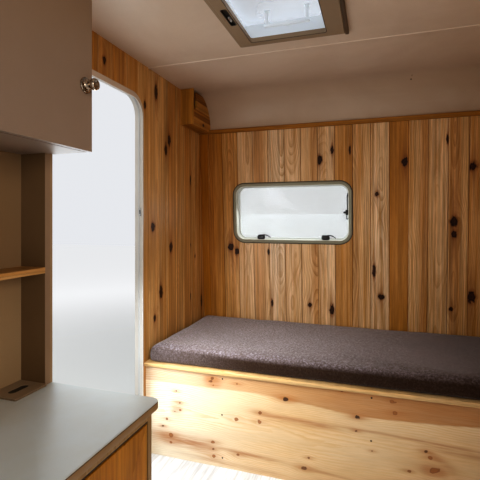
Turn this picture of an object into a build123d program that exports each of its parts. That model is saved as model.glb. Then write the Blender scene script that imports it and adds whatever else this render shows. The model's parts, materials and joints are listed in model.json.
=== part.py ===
# End section of a small touring caravan's body, in millimetres.
# +X runs across the body, +Y towards the closed end wall, +Z up. The origin is the middle of the floor's underside.
# The section is cut square at the low Y end, where the rest of the body would follow.
from build123d import *
import math
import os

os.makedirs("parts", exist_ok=True)

# Room: faces that the eye sees inside.
room_width = 1950
room_length = 1850
room_height = 1850
cut_y = -943.5

# The end wall leans in towards its top. The room's length is measured at the cushion's top.
end_lean = 3.75

# Wall sandwich, from inside to outside.
board_thick = 12
wall_core_thick = 24
skin_thick = 1.5
skin_bottom = 5

# Floor and roof.
floor_core_thick = 30
plank_thick = 8
plank_width = 190
plank_gap = 0.6
lining_thick = 4
roof_core_thick = 30
lining_radius = 179
joint_strip_y = 227.5
joint_strip_width = 20
joint_strip_thick = 3

# Cladding boards.
board_cover = 97
end_board_first = 51.6
board_gap = 0.4
board_chamfer = 3

# Ledge along the top of the end wall.
ledge_below_ceiling = 183
ledge_thick = 24
ledge_proud = 13

# Chassis bolts through the floor.
bolt_radius = 5.5
bolt_spacing_x = 1200
bolt_spacing_y = 1400

# Doorway in the side wall at low X.
door_y0, door_y1 = -435.5, 169
door_sill = 22
door_head_below_ceiling = 161
door_corner = 85
frame_wall = 3
frame_inner_flange = 8.5
frame_inner_flange_thick = 2.5
frame_head_lip = 14
frame_outer_flange = 14
frame_outer_flange_thick = 3

# Entrance door, drawn shut and then swung open to where it stands.
door_edge_gap = 7
door_face_gap = 5
door_slab_thick = 30
door_plate_thick = 3
door_plate_lap = 12
door_open_angle = 105
door_hinge_radius = 6
door_hinge_length = 90
door_hinge_heights = (330, 1330)
door_handle_height = 1130
door_strap_length = 62
door_hinge_foot = 34

# Window in the end wall.
window_x = -406
window_height = 1155.5
window_clear_width = 664
window_clear_height = 318
window_corner = 50
window_reveal = 4
window_inner_flange = 21
window_inner_flange_thick = 4
window_outer_flange = 16
window_outer_flange_thick = 3
window_seal_thick = 3.5
pane_lap = 14
pane_depth = 14
pane_sheet = 3
hinge_rail_height = 22
hinge_rail_depth = 14
catch_offset = 192
catch_rise = 12
catch_lever = 68
catch_body = 38
stay_inset = 6
stay_rod_low, stay_rod_high = -2, 94
stay_hook_low, stay_hook_high = 84, 108
stay_knob_length = 28

# Roof hatch.
hatch_x = -248.5
hatch_y = -102
hatch_hole = 400
hatch_collar_wall = 6
hatch_collar_fit = 1
hatch_collar_rise = 26
hatch_flange_half = 225
hatch_flange_thick = 3
hatch_hinge_side = 22
hatch_trim_size = 443
hatch_trim_drop = 14
hatch_rim_width = 14
hatch_rim_drop = 9
hatch_trim_rise = 4
hatch_trim_left, hatch_trim_right = 59, 81
hatch_trim_ends = 45
hatch_slot_inset = 31
hatch_slot_width = 20
hatch_slot_length = 118
hatch_slot_shift = -47
hatch_slot_depth = 8
hatch_hinge_offset = 130
hatch_arm_length = 14
hatch_bar_setback = 22
hatch_bar_inset = 60
hatch_bar_post = 14
lid_half = 226
lid_sheet = 3
lid_gap = 12
lid_height = 48
lid_corner = 40
lid_edge = 14

# Bench bed across the end.
bench_edge_y = 184.5
bench_nosing = 14
bench_height = 434
bench_top_thick = 18
bench_front_thick = 18
cushion_thick = 80
cushion_edge = 14
soft_gap = 0.3

# Galley beside the doorway.
galley_far_y = -503.5
worktop_height = 612
worktop_thick = 22
worktop_depth = 473
worktop_corner = 26
worktop_overhang_front = 15
worktop_overhang_end = 29
panel_thick = 18
galley_rail_height = 25
galley_plinth_height = 56
cabinet_gap = 5

# Niche over the worktop.
niche_depth = 93
niche_panel_thick = 19.5
niche_cladding_thick = 10
shelf_top = 970
shelf_thick = 18.5
cover_depth, cover_length, cover_thick = 101, 115, 6

# Overhead locker.
locker_bottom = 1317
locker_depth = 240
locker_panel = 15
locker_door_thick = 16
knob_height_above_locker = 189
knob_inset = 31

# Corner box under the ceiling.
corner_box_width = 77
corner_box_length = 336
corner_box_height = 200
corner_slat_height = 48
corner_slat_gap = 1
corner_slat_setback = 40

# Cabinet hinges and knobs.
cabinet_hinge_radius = 4
cabinet_hinge_length = 50
pin_clearance = 0.05
knuckle_gap = 0.4
knob_plate_radius = 15
knob_head_radius = 13
knob_reach = 30

# Faces that follow from the sizes above.
side_face = room_width / 2
core_in = side_face + board_thick
core_out = core_in + wall_core_thick
skin_out = core_out + skin_thick
end_face = cut_y + room_length
end_core_in = end_face + board_thick
end_core_out = end_core_in + wall_core_thick
end_skin_out = end_core_out + skin_thick
lean = math.tan(math.radians(end_lean))
lean_along = 1 / math.cos(math.radians(end_lean))
floor_level = floor_core_thick + plank_thick
ceiling = floor_level + room_height
lining_top = ceiling + lining_thick
roof_core_top = lining_top + roof_core_thick
roof_skin_top = roof_core_top + skin_thick
wall_top = ceiling - ledge_below_ceiling
ledge_bottom = wall_top - ledge_thick
roof_radius = roof_core_top - wall_top
lean_z = floor_level + bench_height + cushion_thick
lining_end = end_face - (wall_top - lean_z) * lean
top_core_out = lining_end + (board_thick + wall_core_thick) * lean_along
top_skin_out = lining_end + (board_thick + wall_core_thick + skin_thick) * lean_along


def block(x0, x1, y0, y1, z0, z1):
    """A box between two corners."""
    return Pos((x0 + x1) / 2, (y0 + y1) / 2, (z0 + z1) / 2) * Box(x1 - x0, y1 - y0, z1 - z0)


def end_y(z, depth=0.0):
    """Where the leaning end wall's face is at a height, or a layer at a depth behind that face."""
    return end_face - (z - lean_z) * lean + depth * lean_along


def leaning(shape):
    """Turns a piece that is drawn on an upright end wall to the wall's lean."""
    return Pos(0, end_face, lean_z) * Rot(end_lean, 0, 0) * Pos(0, -end_face, -lean_z) * shape


def slab_to_end(x0, x1, y0, depth, z0, z1):
    """A block whose far face follows the end wall at a depth."""
    points = Polyline((y0, z0), (end_y(z0, depth), z0), (end_y(z1, depth), z1), (y0, z1), close=True)
    return extrude(Plane.YZ.offset(x0) * make_face(points), amount=x1 - x0)


def end_layer(x0, x1, depth0, depth1, z0, z1):
    """A layer of the end wall between two depths."""
    points = Polyline((end_y(z0, depth0), z0), (end_y(z0, depth1), z0), (end_y(z1, depth1), z1),
                      (end_y(z1, depth0), z1), close=True)
    return extrude(Plane.YZ.offset(x0) * make_face(points), amount=x1 - x0)


def body_profile(x0, x1, y0, y1, z0, z1, radius):
    """The body's side shape in YZ, drawn out along X. Its far line leans up to y1, where it turns into the roof."""
    slant = radius * math.sqrt(0.5)
    foot = y1 + (z1 - radius - z0) * lean
    with BuildSketch(Plane.YZ.offset(x0)) as side:
        with BuildLine():
            Polyline((y1 - radius, z1), (y0, z1), (y0, z0), (foot, z0))
            if z1 - radius > z0 + 0.01:
                Line((foot, z0), (y1, z1 - radius))
            ThreePointArc((y1, z1 - radius), (y1 - radius + slant, z1 - radius + slant), (y1 - radius, z1))
        make_face()
    return extrude(side.sketch, amount=x1 - x0)


def prism_x(x0, x1, y0, y1, z0, z1, radius):
    """A round-cornered rectangle in YZ, drawn out along X."""
    sketch = Plane.YZ.offset(x0) * Pos((y0 + y1) / 2, (z0 + z1) / 2) * RectangleRounded(y1 - y0, z1 - z0, radius)
    return extrude(sketch, amount=x1 - x0)


def prism_y(y0, y1, x0, x1, z0, z1, radius):
    """A round-cornered rectangle in XZ, drawn out along Y."""
    sketch = Plane.XZ.offset(-y1) * Pos((x0 + x1) / 2, (z0 + z1) / 2) * RectangleRounded(x1 - x0, z1 - z0, radius)
    return extrude(sketch, amount=y1 - y0)


def prism_z(z0, z1, x0, x1, y0, y1, radius):
    """A round-cornered rectangle in XY, drawn out along Z."""
    sketch = Plane.XY.offset(z0) * Pos((x0 + x1) / 2, (y0 + y1) / 2) * RectangleRounded(x1 - x0, y1 - y0, radius)
    return extrude(sketch, amount=z1 - z0)


def doorway(x0, x1, grow=0.0, lower=0.0):
    """The doorway's clear outline grown by a margin, from x0 to x1. Its head may come lower."""
    head = ceiling - door_head_below_ceiling - lower
    return prism_x(
        x0, x1, door_y0 - grow, door_y1 + grow, floor_level + door_sill - grow, head + grow, door_corner + grow,
    )


def window_outline(y0, y1, grow=0.0):
    """The window's clear outline grown by a margin, from y0 to y1."""
    half_width, half_height = window_clear_width / 2 + grow, window_clear_height / 2 + grow
    middle = floor_level + window_height
    return prism_y(
        y0, y1, window_x - half_width, window_x + half_width,
        middle - half_height, middle + half_height, window_corner + grow,
    )


def hatch_square(z0, z1, half, radius=8.0):
    """A square round the hatch's centre."""
    return prism_z(z0, z1, hatch_x - half, hatch_x + half, hatch_y - half, hatch_y + half, radius)


def save(name, *solids):
    """Writes one node from one or more solids that don't touch."""
    found = [s for shape in solids for s in shape.solids()]
    shape = found[0] if len(found) == 1 else Compound(children=found)
    export_step(shape, f"parts/{name}.step")


# Floor

def build_floor():
    far = end_y(floor_core_thick, board_thick + wall_core_thick)
    core = block(-core_out, core_out, cut_y, far, 0, floor_core_thick)
    for sx in (-1, 1):
        for sy in (-1, 1):
            core -= Pos(sx * bolt_spacing_x / 2, sy * bolt_spacing_y / 2, floor_core_thick / 2) * Cylinder(
                bolt_radius, floor_core_thick
            )
    save("floor_core", core)
    planks = []
    x = -side_face
    while x < side_face:
        right = min(x + plank_width - plank_gap, side_face)
        planks.append(block(x, right, cut_y, bench_edge_y + bench_nosing, floor_core_thick, floor_level))
        x += plank_width
    save("floor_planks", *planks)


# Walls

def side_region(x0, x1, y0, y_high, z_top, radius):
    """A side wall layer: to the end wall's core below the ledge's top, and under the lining's curve above it."""
    low = slab_to_end(x0, x1, y0, board_thick, floor_core_thick, wall_top)
    return low + body_profile(x0, x1, y0, y_high, wall_top - 1, z_top, radius)


def board(front, back, start, stop, z0, z1, across):
    """One vertical board with its two front edges chamfered. across is the axis that the board's width runs along."""
    c = board_chamfer
    toward = 1 if back > front else -1
    points = [(start, back), (start, front + toward * c), (start + c, front), (stop - c, front),
              (stop, front + toward * c), (stop, back)]
    if across == "y":
        points = [(b, a) for a, b in points]
    face = Plane.XY.offset(z0) * make_face(Polyline(*points, close=True))
    return extrude(face, amount=z1 - z0)


def side_boards(side, y_start):
    """Vertical boards on one side wall, counted from the far corner. side is -1 for the doorway's wall."""
    front, back = side * side_face, side * core_in
    low, high = min(front, back), max(front, back)
    region = side_region(low, high, y_start, lining_end, ceiling, lining_radius)
    if side < 0:
        region -= doorway(low, high, frame_wall)
    boards = []
    far = end_face + board_cover
    near = end_face
    while far > y_start + board_chamfer * 3:
        one = board(front, back, max(near, y_start) + board_gap, far, floor_core_thick, ceiling, "y")
        boards.extend((one & region).solids())
        far, near = near, near - board_cover
    return boards


def build_side_walls():
    for side, name in ((-1, "door_wall"), (1, "off_wall")):
        low, high = sorted((side * core_in, side * core_out))
        core = side_region(low, high, cut_y, lining_end + lining_thick, lining_top, lining_radius + lining_thick)
        skin_low, skin_high = sorted((side * core_out, side * skin_out))
        skin = body_profile(skin_low, skin_high, cut_y, top_core_out, skin_bottom, roof_core_top, roof_radius)
        if side < 0:
            core -= doorway(low, high, frame_wall)
            skin -= doorway(skin_low, skin_high, frame_wall)
        save(f"{name}_core", core)
        save(f"{name}_skin", skin)
    save("door_wall_boards", *side_boards(-1, galley_far_y))
    save("off_wall_boards", *side_boards(1, cut_y))
    lining = block(-core_in, -side_face, cut_y, galley_far_y, floor_core_thick, ceiling)
    save("galley_wall_lining", lining)


def build_end_wall():
    core = end_layer(-core_out, core_out, board_thick, board_thick + wall_core_thick, floor_core_thick, wall_top)
    skin = end_layer(-skin_out, skin_out, board_thick + wall_core_thick, board_thick + wall_core_thick + skin_thick,
                     skin_bottom, wall_top)
    hole = leaning(window_outline(end_face - 5, end_skin_out + 5, window_reveal))
    save("end_wall_core", core - hole)
    save("end_wall_skin", skin - hole)
    zone = block(-side_face, side_face, cut_y, end_face + 400, floor_core_thick, ledge_bottom) - hole
    boards = []
    x = -side_face
    joint = x + end_board_first
    while x < side_face - board_chamfer * 3:
        right = min(joint - board_gap, side_face)
        one = leaning(board(end_face, end_core_in, x, right, 0, ceiling, "x"))
        boards.extend((one & zone).solids())
        x, joint = joint, joint + board_cover
    save("end_wall_boards", *boards)
    ledge = end_layer(-side_face, side_face, -ledge_proud, board_thick, ledge_bottom, wall_top)
    front_edges = ledge.edges().filter_by(Axis.X).sort_by(Axis.Y)[:2]
    save("end_ledge", fillet(front_edges, 4))


# Roof

def build_roof():
    hole = hatch_square(ceiling - 1, roof_skin_top + 1, hatch_hole / 2)
    core = body_profile(-core_out, core_out, cut_y, top_core_out, wall_top, roof_core_top, roof_radius)
    core -= body_profile(-core_out, core_out, cut_y, lining_end + lining_thick, wall_top, lining_top,
                         lining_radius + lining_thick)
    save("roof_core", core - hole)
    skin = body_profile(-skin_out, skin_out, cut_y, top_skin_out, wall_top, roof_skin_top, roof_radius + skin_thick)
    skin -= body_profile(-skin_out, skin_out, cut_y, top_core_out, wall_top, roof_core_top, roof_radius)
    save("roof_skin", skin - hole)
    lining = body_profile(-core_in, core_in, cut_y, lining_end + lining_thick, wall_top, lining_top,
                          lining_radius + lining_thick)
    lining -= body_profile(-core_in, core_in, cut_y, lining_end, wall_top, ceiling, lining_radius)
    seam = block(-core_in, core_in, joint_strip_y - 1, joint_strip_y + 1, wall_top, lining_top)
    front, end = sorted((lining - hole - seam).solids(), key=lambda s: s.center().Y)
    save("ceiling_panel", front)
    save("ceiling_end_panel", end)
    strip = block(-side_face, side_face, joint_strip_y - joint_strip_width / 2, joint_strip_y + joint_strip_width / 2,
                  ceiling - joint_strip_thick, ceiling)
    save("ceiling_joint_strip", chamfer(strip.edges().filter_by(Axis.X).group_by(Axis.Z)[0], 1.5))


def build_edge_rails():
    """Metal rails that close the body's side edges, bent round the roof's curve."""
    lip, fall, reach = 3, 14, 16

    def band(x0, x1, inner, outer):
        big = body_profile(x0, x1, cut_y, top_skin_out + outer, skin_bottom, roof_skin_top + outer,
                           roof_radius + skin_thick + outer)
        return big - body_profile(x0, x1, cut_y, top_skin_out + inner, skin_bottom, roof_skin_top + inner,
                                  roof_radius + skin_thick + inner)

    rails = []
    for side in (-1, 1):
        over = sorted((side * (skin_out - reach), side * (skin_out + lip)))
        face = sorted((side * skin_out, side * (skin_out + lip)))
        rails.append(band(*over, 0, lip) + band(*face, -fall, lip))
    save("edge_rails", *rails)
    depth = board_thick + wall_core_thick + skin_thick
    moulding = end_layer(-skin_out + reach, skin_out - reach, depth, depth + 4, wall_top - 14, wall_top)
    save("roof_end_moulding", moulding)


# Window

def window_ring(y0, y1, inner, outer):
    """A ring round the window between two margins."""
    return window_outline(y0, y1, outer) - window_outline(y0, y1, inner)


def build_window():
    middle = floor_level + window_height
    flange_face = end_face - window_inner_flange_thick
    outer_face = end_skin_out + window_outer_flange_thick
    frame = window_ring(flange_face, outer_face, 0, window_reveal)
    frame += window_ring(flange_face, end_face, 0, window_inner_flange)
    frame += window_ring(end_skin_out, outer_face, 0, window_outer_flange)
    save("window_frame", leaning(frame))
    seal_face = outer_face + window_seal_thick
    save("window_seal", leaning(window_ring(outer_face, seal_face, 3, 12)))
    pane = window_outline(seal_face, seal_face + pane_depth, pane_lap)
    pane = chamfer(pane.faces().sort_by(Axis.Y)[-1].edges(), 4)
    pane -= window_outline(seal_face, seal_face + pane_depth - pane_sheet, pane_lap - 6)
    save("window_pane", leaning(pane))
    top = middle + window_clear_height / 2 + pane_lap + 1
    rail_half = window_clear_width / 2 - 10
    rail = block(window_x - rail_half, window_x + rail_half, end_skin_out, end_skin_out + hinge_rail_depth,
                 top + window_outer_flange - pane_lap, top + hinge_rail_height)
    rail = chamfer(rail.edges().filter_by(Axis.X).group_by(Axis.Y)[-1].sort_by(Axis.Z)[-1:], 8)
    save("window_hinge_rail", leaning(rail))
    sheet_in = seal_face + pane_depth - pane_sheet
    low = middle - window_clear_height / 2
    catches = []
    for side in (-1, 1):
        x = window_x + side * catch_offset
        z = low + catch_rise
        stem = Pos(x, (end_face + sheet_in) / 2 + 4, z) * Rot(90, 0, 0) * Cylinder(5, sheet_in - end_face - 8)
        foot = block(x - 14, x + 14, sheet_in - 4, sheet_in, z - 9, z + 12)
        grip = Polyline(
            (x - 8, z - 10), (x + catch_body, z - 10), (x + catch_lever, z + 6), (x + catch_lever - 2, z + 12),
            (x + catch_body - 4, z + 15), (x - 8, z + 11), close=True,
        )
        grip = extrude(Plane.XZ.offset(-end_face - 8) * make_face(grip), amount=12)
        catches.append(stem + foot + grip)
    save("window_catches", *[leaning(catch) for catch in catches])
    x = window_x + window_clear_width / 2 - stay_inset
    stay_y = end_core_in
    rod = Pos(x, stay_y, middle + (stay_rod_low + stay_rod_high) / 2) * Cylinder(3, stay_rod_high - stay_rod_low)
    upper = block(x - 5, window_x + window_clear_width / 2, stay_y - 6, stay_y + 6,
                  middle + stay_hook_low, middle + stay_hook_high)
    joint = Pos(x - 3, stay_y, middle) * Cylinder(8, stay_knob_length)
    wing = Pos(x - 12, stay_y, middle) * Rot(0, 90, 0) * Cylinder(4, 16)
    tab = block(x - 6, x + 2, stay_y, sheet_in, middle - 5, middle + 5)
    save("window_stay", leaning(rod + upper + joint + wing + tab))


# Roof hatch

def hinge_pair(radius, length, pin_radius):
    """A fixed knuckle pair with its pin, and the moving knuckle between them, along Z from 0."""
    third = length / 3
    pin = Pos(0, 0, length / 2) * Cylinder(pin_radius, length)
    low = Pos(0, 0, third / 2) * Cylinder(radius, third)
    high = Pos(0, 0, length - third / 2) * Cylinder(radius, third)
    middle = Pos(0, 0, length / 2) * Cylinder(radius, third - 2 * knuckle_gap)
    bore = Pos(0, 0, length / 2) * Cylinder(pin_radius + pin_clearance, third)
    return pin + low + high, middle - bore


def build_hatch():
    half_hole = hatch_hole / 2
    collar_out = half_hole - hatch_collar_fit
    collar_in = collar_out - hatch_collar_wall
    flange_top = roof_skin_top + hatch_flange_thick
    collar = hatch_square(ceiling, flange_top + hatch_collar_rise, collar_out)
    collar += prism_z(roof_skin_top, flange_top, hatch_x - hatch_flange_half, hatch_x + hatch_flange_half,
                      hatch_y - hatch_flange_half - hatch_hinge_side, hatch_y + hatch_flange_half, 12)
    save("hatch_collar", collar - hatch_square(ceiling, flange_top + hatch_collar_rise, collar_in))

    trim_half = hatch_trim_size / 2
    x0, x1 = hatch_x - trim_half + hatch_trim_left, hatch_x + trim_half - hatch_trim_right
    y0, y1 = hatch_y - trim_half + hatch_trim_ends, hatch_y + trim_half - hatch_trim_ends
    trim = hatch_square(ceiling - hatch_trim_drop, ceiling, trim_half - hatch_rim_width, 6)
    trim = chamfer(trim.faces().sort_by(Axis.Z)[0].edges(), 3)
    trim += hatch_square(ceiling - hatch_rim_drop, ceiling, trim_half)
    trim += hatch_square(ceiling, ceiling + hatch_trim_rise, collar_in - 0.5)
    hole = prism_z(ceiling - hatch_trim_drop, ceiling + hatch_trim_rise, x0, x1, y0, y1, 10)
    slot_x = hatch_x - trim_half + hatch_slot_inset
    slot_y = hatch_y + hatch_slot_shift
    slot = block(slot_x, slot_x + hatch_slot_width, slot_y - hatch_slot_length / 2, slot_y + hatch_slot_length / 2,
                 ceiling - hatch_trim_drop, ceiling - hatch_trim_drop + hatch_slot_depth)
    save("hatch_inner_frame", trim - hole - slot)

    lid_bottom = flange_top + lid_gap - hatch_flange_thick
    lid = hatch_square(lid_bottom, lid_bottom + lid_height, lid_half, lid_corner)
    lid = chamfer(lid.faces().sort_by(Axis.Z)[-1].edges(), lid_edge)
    inside = hatch_square(lid_bottom, lid_bottom + lid_height - lid_sheet, lid_half - lid_sheet, lid_corner - lid_sheet)
    inside = chamfer(inside.faces().sort_by(Axis.Z)[-1].edges(), lid_edge - lid_sheet * 0.6)
    save("hatch_lid", lid - inside)

    axis_y = hatch_y - lid_half - 7
    axis_z = flange_top + cabinet_hinge_radius + 2
    fixed, moving = [], []
    for side in (-1, 1):
        start = hatch_x + side * hatch_hinge_offset - cabinet_hinge_length / 2
        still, turning = hinge_pair(cabinet_hinge_radius, cabinet_hinge_length, 2)
        place = Pos(start, axis_y, axis_z) * Rot(0, 90, 0)
        third = cabinet_hinge_length / 3
        still, turning = place * still, place * turning
        for a, b in ((start, start + third), (start + 2 * third, start + cabinet_hinge_length)):
            still += block(a, b, axis_y - cabinet_hinge_radius, axis_y + cabinet_hinge_radius, flange_top, axis_z)
        a, b = start + third + knuckle_gap, start + 2 * third - knuckle_gap
        arm = block(a, b, axis_y, hatch_y - lid_half, axis_z + 1, axis_z + cabinet_hinge_radius)
        arm += block(a, b, hatch_y - lid_half - 3, hatch_y - lid_half, axis_z + 1, lid_bottom + hatch_arm_length)
        bore = place * Pos(0, 0, cabinet_hinge_length / 2) * Cylinder(2 + pin_clearance, cabinet_hinge_length)
        fixed.append(still)
        moving.append(turning + (arm - bore))
    save("hatch_hinge_feet", *fixed)
    save("hatch_hinge_arms", *moving)

    bar_y = y1 - hatch_bar_setback
    bar_x0, bar_x1 = x0 + hatch_bar_inset, x1 - hatch_bar_inset
    bar_z = ceiling + 34
    top = lid_bottom + lid_height - lid_sheet
    bar = block(bar_x0, bar_x1, bar_y - 9, bar_y + 9, bar_z - 6, bar_z + 6)
    bar = fillet(bar.edges().filter_by(Axis.X), 4)
    for left in (bar_x0 + 5, bar_x1 - 5 - hatch_bar_post):
        bar += block(left, left + hatch_bar_post, bar_y - 6, bar_y + 6, bar_z, top)
    save("hatch_handle", bar)


# Doorway and entrance door

def build_door_frame():
    inner = -side_face + frame_inner_flange_thick
    outer = -skin_out - frame_outer_flange_thick
    frame = doorway(outer, inner, frame_wall)
    frame += doorway(outer, -skin_out, frame_outer_flange)
    frame -= doorway(outer, inner)
    # The inner flange hangs below the head, so it hides the frame's depth there.
    flange = doorway(-side_face, inner, frame_inner_flange) - doorway(-side_face, inner, 0, frame_head_lip)
    save("door_frame", frame + flange)


def build_entrance_door():
    plate_in = -skin_out - frame_outer_flange_thick - door_face_gap
    plate_out = plate_in - door_plate_thick
    slab = doorway(plate_in, plate_in + door_slab_thick, -door_edge_gap)
    plate = doorway(plate_out, plate_in, door_plate_lap)
    axis_x = plate_out - door_hinge_radius
    axis_y = door_y0 - door_plate_lap - 4
    handle_y = door_y1 - 48
    handle_z = floor_level + door_handle_height
    outside = block(plate_out - 6, plate_out, handle_y - 26, handle_y + 18, handle_z - 60, handle_z + 60)
    outside = fillet(outside.edges().filter_by(Axis.X), 10)
    outside += Pos(plate_out - 15, handle_y - 4, handle_z + 18) * Rot(0, 90, 0) * Cylinder(16, 22)
    outside += Pos(plate_out - 8, handle_y - 4, handle_z - 32) * Rot(0, 90, 0) * Cylinder(9, 8)
    slab_in = plate_in + door_slab_thick
    inside = block(slab_in, slab_in + 8, handle_y - 24, handle_y + 12, handle_z - 40, handle_z + 40)
    inside += block(slab_in + 8, slab_in + 16, handle_y - 20, handle_y - 6, handle_z - 32, handle_z + 18)
    # The door is drawn shut; this turns a piece of it to where the door stands open.
    turn = Pos(axis_x, axis_y, 0) * Rot(0, 0, door_open_angle) * Pos(-axis_x, -axis_y, 0)
    fixed, moving = [], []
    for height in door_hinge_heights:
        z = floor_level + height
        third = door_hinge_length / 3
        still, turning = hinge_pair(door_hinge_radius, door_hinge_length, 3)
        place = Pos(axis_x, axis_y, z)
        foot = block(axis_x, -skin_out, axis_y - door_hinge_foot, axis_y - door_hinge_radius - 2, z, z + door_hinge_length)
        for low in (z, z + 2 * third):
            foot += block(axis_x - 3, axis_x + 3, axis_y - door_hinge_radius - 3, axis_y, low, low + third)
        foot -= Pos(axis_x, axis_y, z + door_hinge_length / 2) * Cylinder(3 + pin_clearance, third)
        fixed.append(place * still + foot)
        strap = block(plate_out - 3, plate_out, axis_y + 3, axis_y + door_strap_length, z + third + knuckle_gap,
                      z + 2 * third - knuckle_gap)
        bridge = block(axis_x, plate_out, axis_y + 2, axis_y + door_hinge_radius, z + third + knuckle_gap,
                       z + 2 * third - knuckle_gap)
        bore = Pos(axis_x, axis_y, z + door_hinge_length / 2) * Cylinder(3 + pin_clearance, third)
        moving.append(turn * (place * turning + ((strap + bridge) - bore)))
    save("door_hinge_feet", *fixed)
    save("door_hinge_straps", *moving)
    save("door_leaf", turn * slab)
    save("door_plate", turn * plate)
    save("door_handles", turn * outside, turn * inside)
    return axis_x, axis_y


# Bench bed

def build_bench():
    top_z = floor_level + bench_height
    under = top_z - bench_top_thick
    front_y = bench_edge_y + bench_nosing
    front = block(-side_face, side_face, front_y, front_y + bench_front_thick, floor_core_thick, under)
    save("bench_front", front)
    top = slab_to_end(-side_face, side_face, bench_edge_y, 0, under, top_z)
    save("bench_top", fillet(top.edges().filter_by(Axis.X).group_by(Axis.Y)[0], 3))
    pad = block(-side_face + 2, side_face - 2, bench_edge_y + 1, end_face - 1, top_z + soft_gap,
                top_z + soft_gap + cushion_thick)
    save("cushion", chamfer(pad.edges(), cushion_edge))


# Galley, niche and locker

def cabinet_hinges(axis_x, axis_y, heights, into_frame, into_door):
    """Upright butt hinges. The leaves run from the axis by the two given (x, y) offsets."""
    fixed, moving = [], []
    third = cabinet_hinge_length / 3
    for z in heights:
        still, turning = hinge_pair(cabinet_hinge_radius, cabinet_hinge_length, 2)
        place = Pos(axis_x, axis_y, z)
        knuckle_room = Pos(axis_x, axis_y, z + cabinet_hinge_length / 2) * Cylinder(cabinet_hinge_radius + 1, third)
        fixed_leaf = block(*into_frame, z, z + cabinet_hinge_length) - knuckle_room
        fixed.append(place * still + fixed_leaf)
        bore = Pos(axis_x, axis_y, z + cabinet_hinge_length / 2) * Cylinder(2 + pin_clearance, third)
        moving_leaf = block(*into_door, z + third + knuckle_gap, z + 2 * third - knuckle_gap) - bore
        moving.append(place * turning + moving_leaf)
    return fixed, moving


def knob(x, y, z):
    """A round turned knob on its base plate, standing out along +X from x."""
    with BuildSketch(Plane.XZ) as half:
        with BuildLine():
            Polyline((0, 0), (knob_plate_radius, 0), (knob_plate_radius, 3), (7, 3), (7, 15), (knob_head_radius, 15),
                     (knob_head_radius, knob_reach - 3), (knob_head_radius - 3, knob_reach), (0, knob_reach), (0, 0))
        make_face()
    return Pos(x, y, z) * Rot(0, 90, 0) * revolve(half.sketch, Axis.Z)


def build_galley():
    front_x = -side_face + worktop_depth
    top_z = floor_level + worktop_height
    under = top_z - worktop_thick
    worktop = block(-side_face, front_x, cut_y, galley_far_y, under, top_z)
    corner = worktop.edges().filter_by(Axis.Z).sort_by(lambda e: e.center().X + e.center().Y)[-1:]
    save("worktop", fillet(corner, worktop_corner))

    face = front_x - worktop_overhang_front
    far = galley_far_y - worktop_overhang_end
    near = cut_y + 2
    back = face - panel_thick
    carcass = block(-side_face, face, far - panel_thick, far, floor_level, under)
    carcass += block(-side_face, face, near, near + panel_thick, floor_level, under)
    carcass += block(back, face, near, far, under - galley_rail_height, under)
    carcass += block(back, face, near, far, floor_level, floor_level + galley_plinth_height)
    shelf_z = floor_level + galley_plinth_height
    carcass += block(-side_face, face, near, far, shelf_z - 16, shelf_z)
    save("galley_carcass", carcass)

    door_far = far - panel_thick - cabinet_gap
    door_near = near + panel_thick + cabinet_gap
    door_low = shelf_z + cabinet_gap
    door_high = under - galley_rail_height - cabinet_gap
    door = block(back, face, door_near, door_far, door_low, door_high)
    save("galley_door", chamfer(door.faces().sort_by(Axis.X)[-1].edges(), 1.5))
    save("galley_knob", knob(face, door_far - knob_inset, (door_low + door_high) / 2))

    axis_x, axis_y = face + cabinet_hinge_radius, near + panel_thick + cabinet_gap / 2
    heights = (door_low + 40, door_high - 40 - cabinet_hinge_length)
    frame_leaf = (face, face + 1.5, near + 1, axis_y)
    door_leaf = (face, face + 1.5, axis_y, axis_y + 22)
    fixed, moving = cabinet_hinges(axis_x, axis_y, heights, frame_leaf, door_leaf)
    save("galley_hinge_leaves", *moving)
    return fixed


def build_niche():
    top_z = floor_level + worktop_height
    locker_z = floor_level + locker_bottom
    front_x = -side_face + niche_depth
    clad_y = galley_far_y - niche_cladding_thick
    far = clad_y - niche_panel_thick
    ends = [block(-side_face, front_x, far, clad_y, top_z, locker_z),
            block(-side_face, front_x, cut_y, cut_y + niche_panel_thick, top_z, locker_z)]
    save("niche_ends", *ends)
    save("niche_cladding", block(-side_face, front_x, clad_y, galley_far_y, top_z, locker_z))
    shelf_z = floor_level + shelf_top
    shelf = block(-side_face, front_x, cut_y + niche_panel_thick, far, shelf_z - shelf_thick, shelf_z)
    save("niche_shelf", fillet(shelf.edges().filter_by(Axis.Y).group_by(Axis.X)[-1], 2))
    y1 = far - 1
    cover = prism_z(top_z, top_z + cover_thick, -side_face, -side_face + cover_depth, y1 - cover_length, y1, 4)
    slot = Plane.XY.offset(top_z) * Pos(-side_face + cover_depth / 2, y1 - cover_length / 2) * Rot(0, 0, 90) * (
        SlotOverall(64, 24)
    )
    save("niche_cover", cover - extrude(slot, amount=cover_thick))


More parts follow.
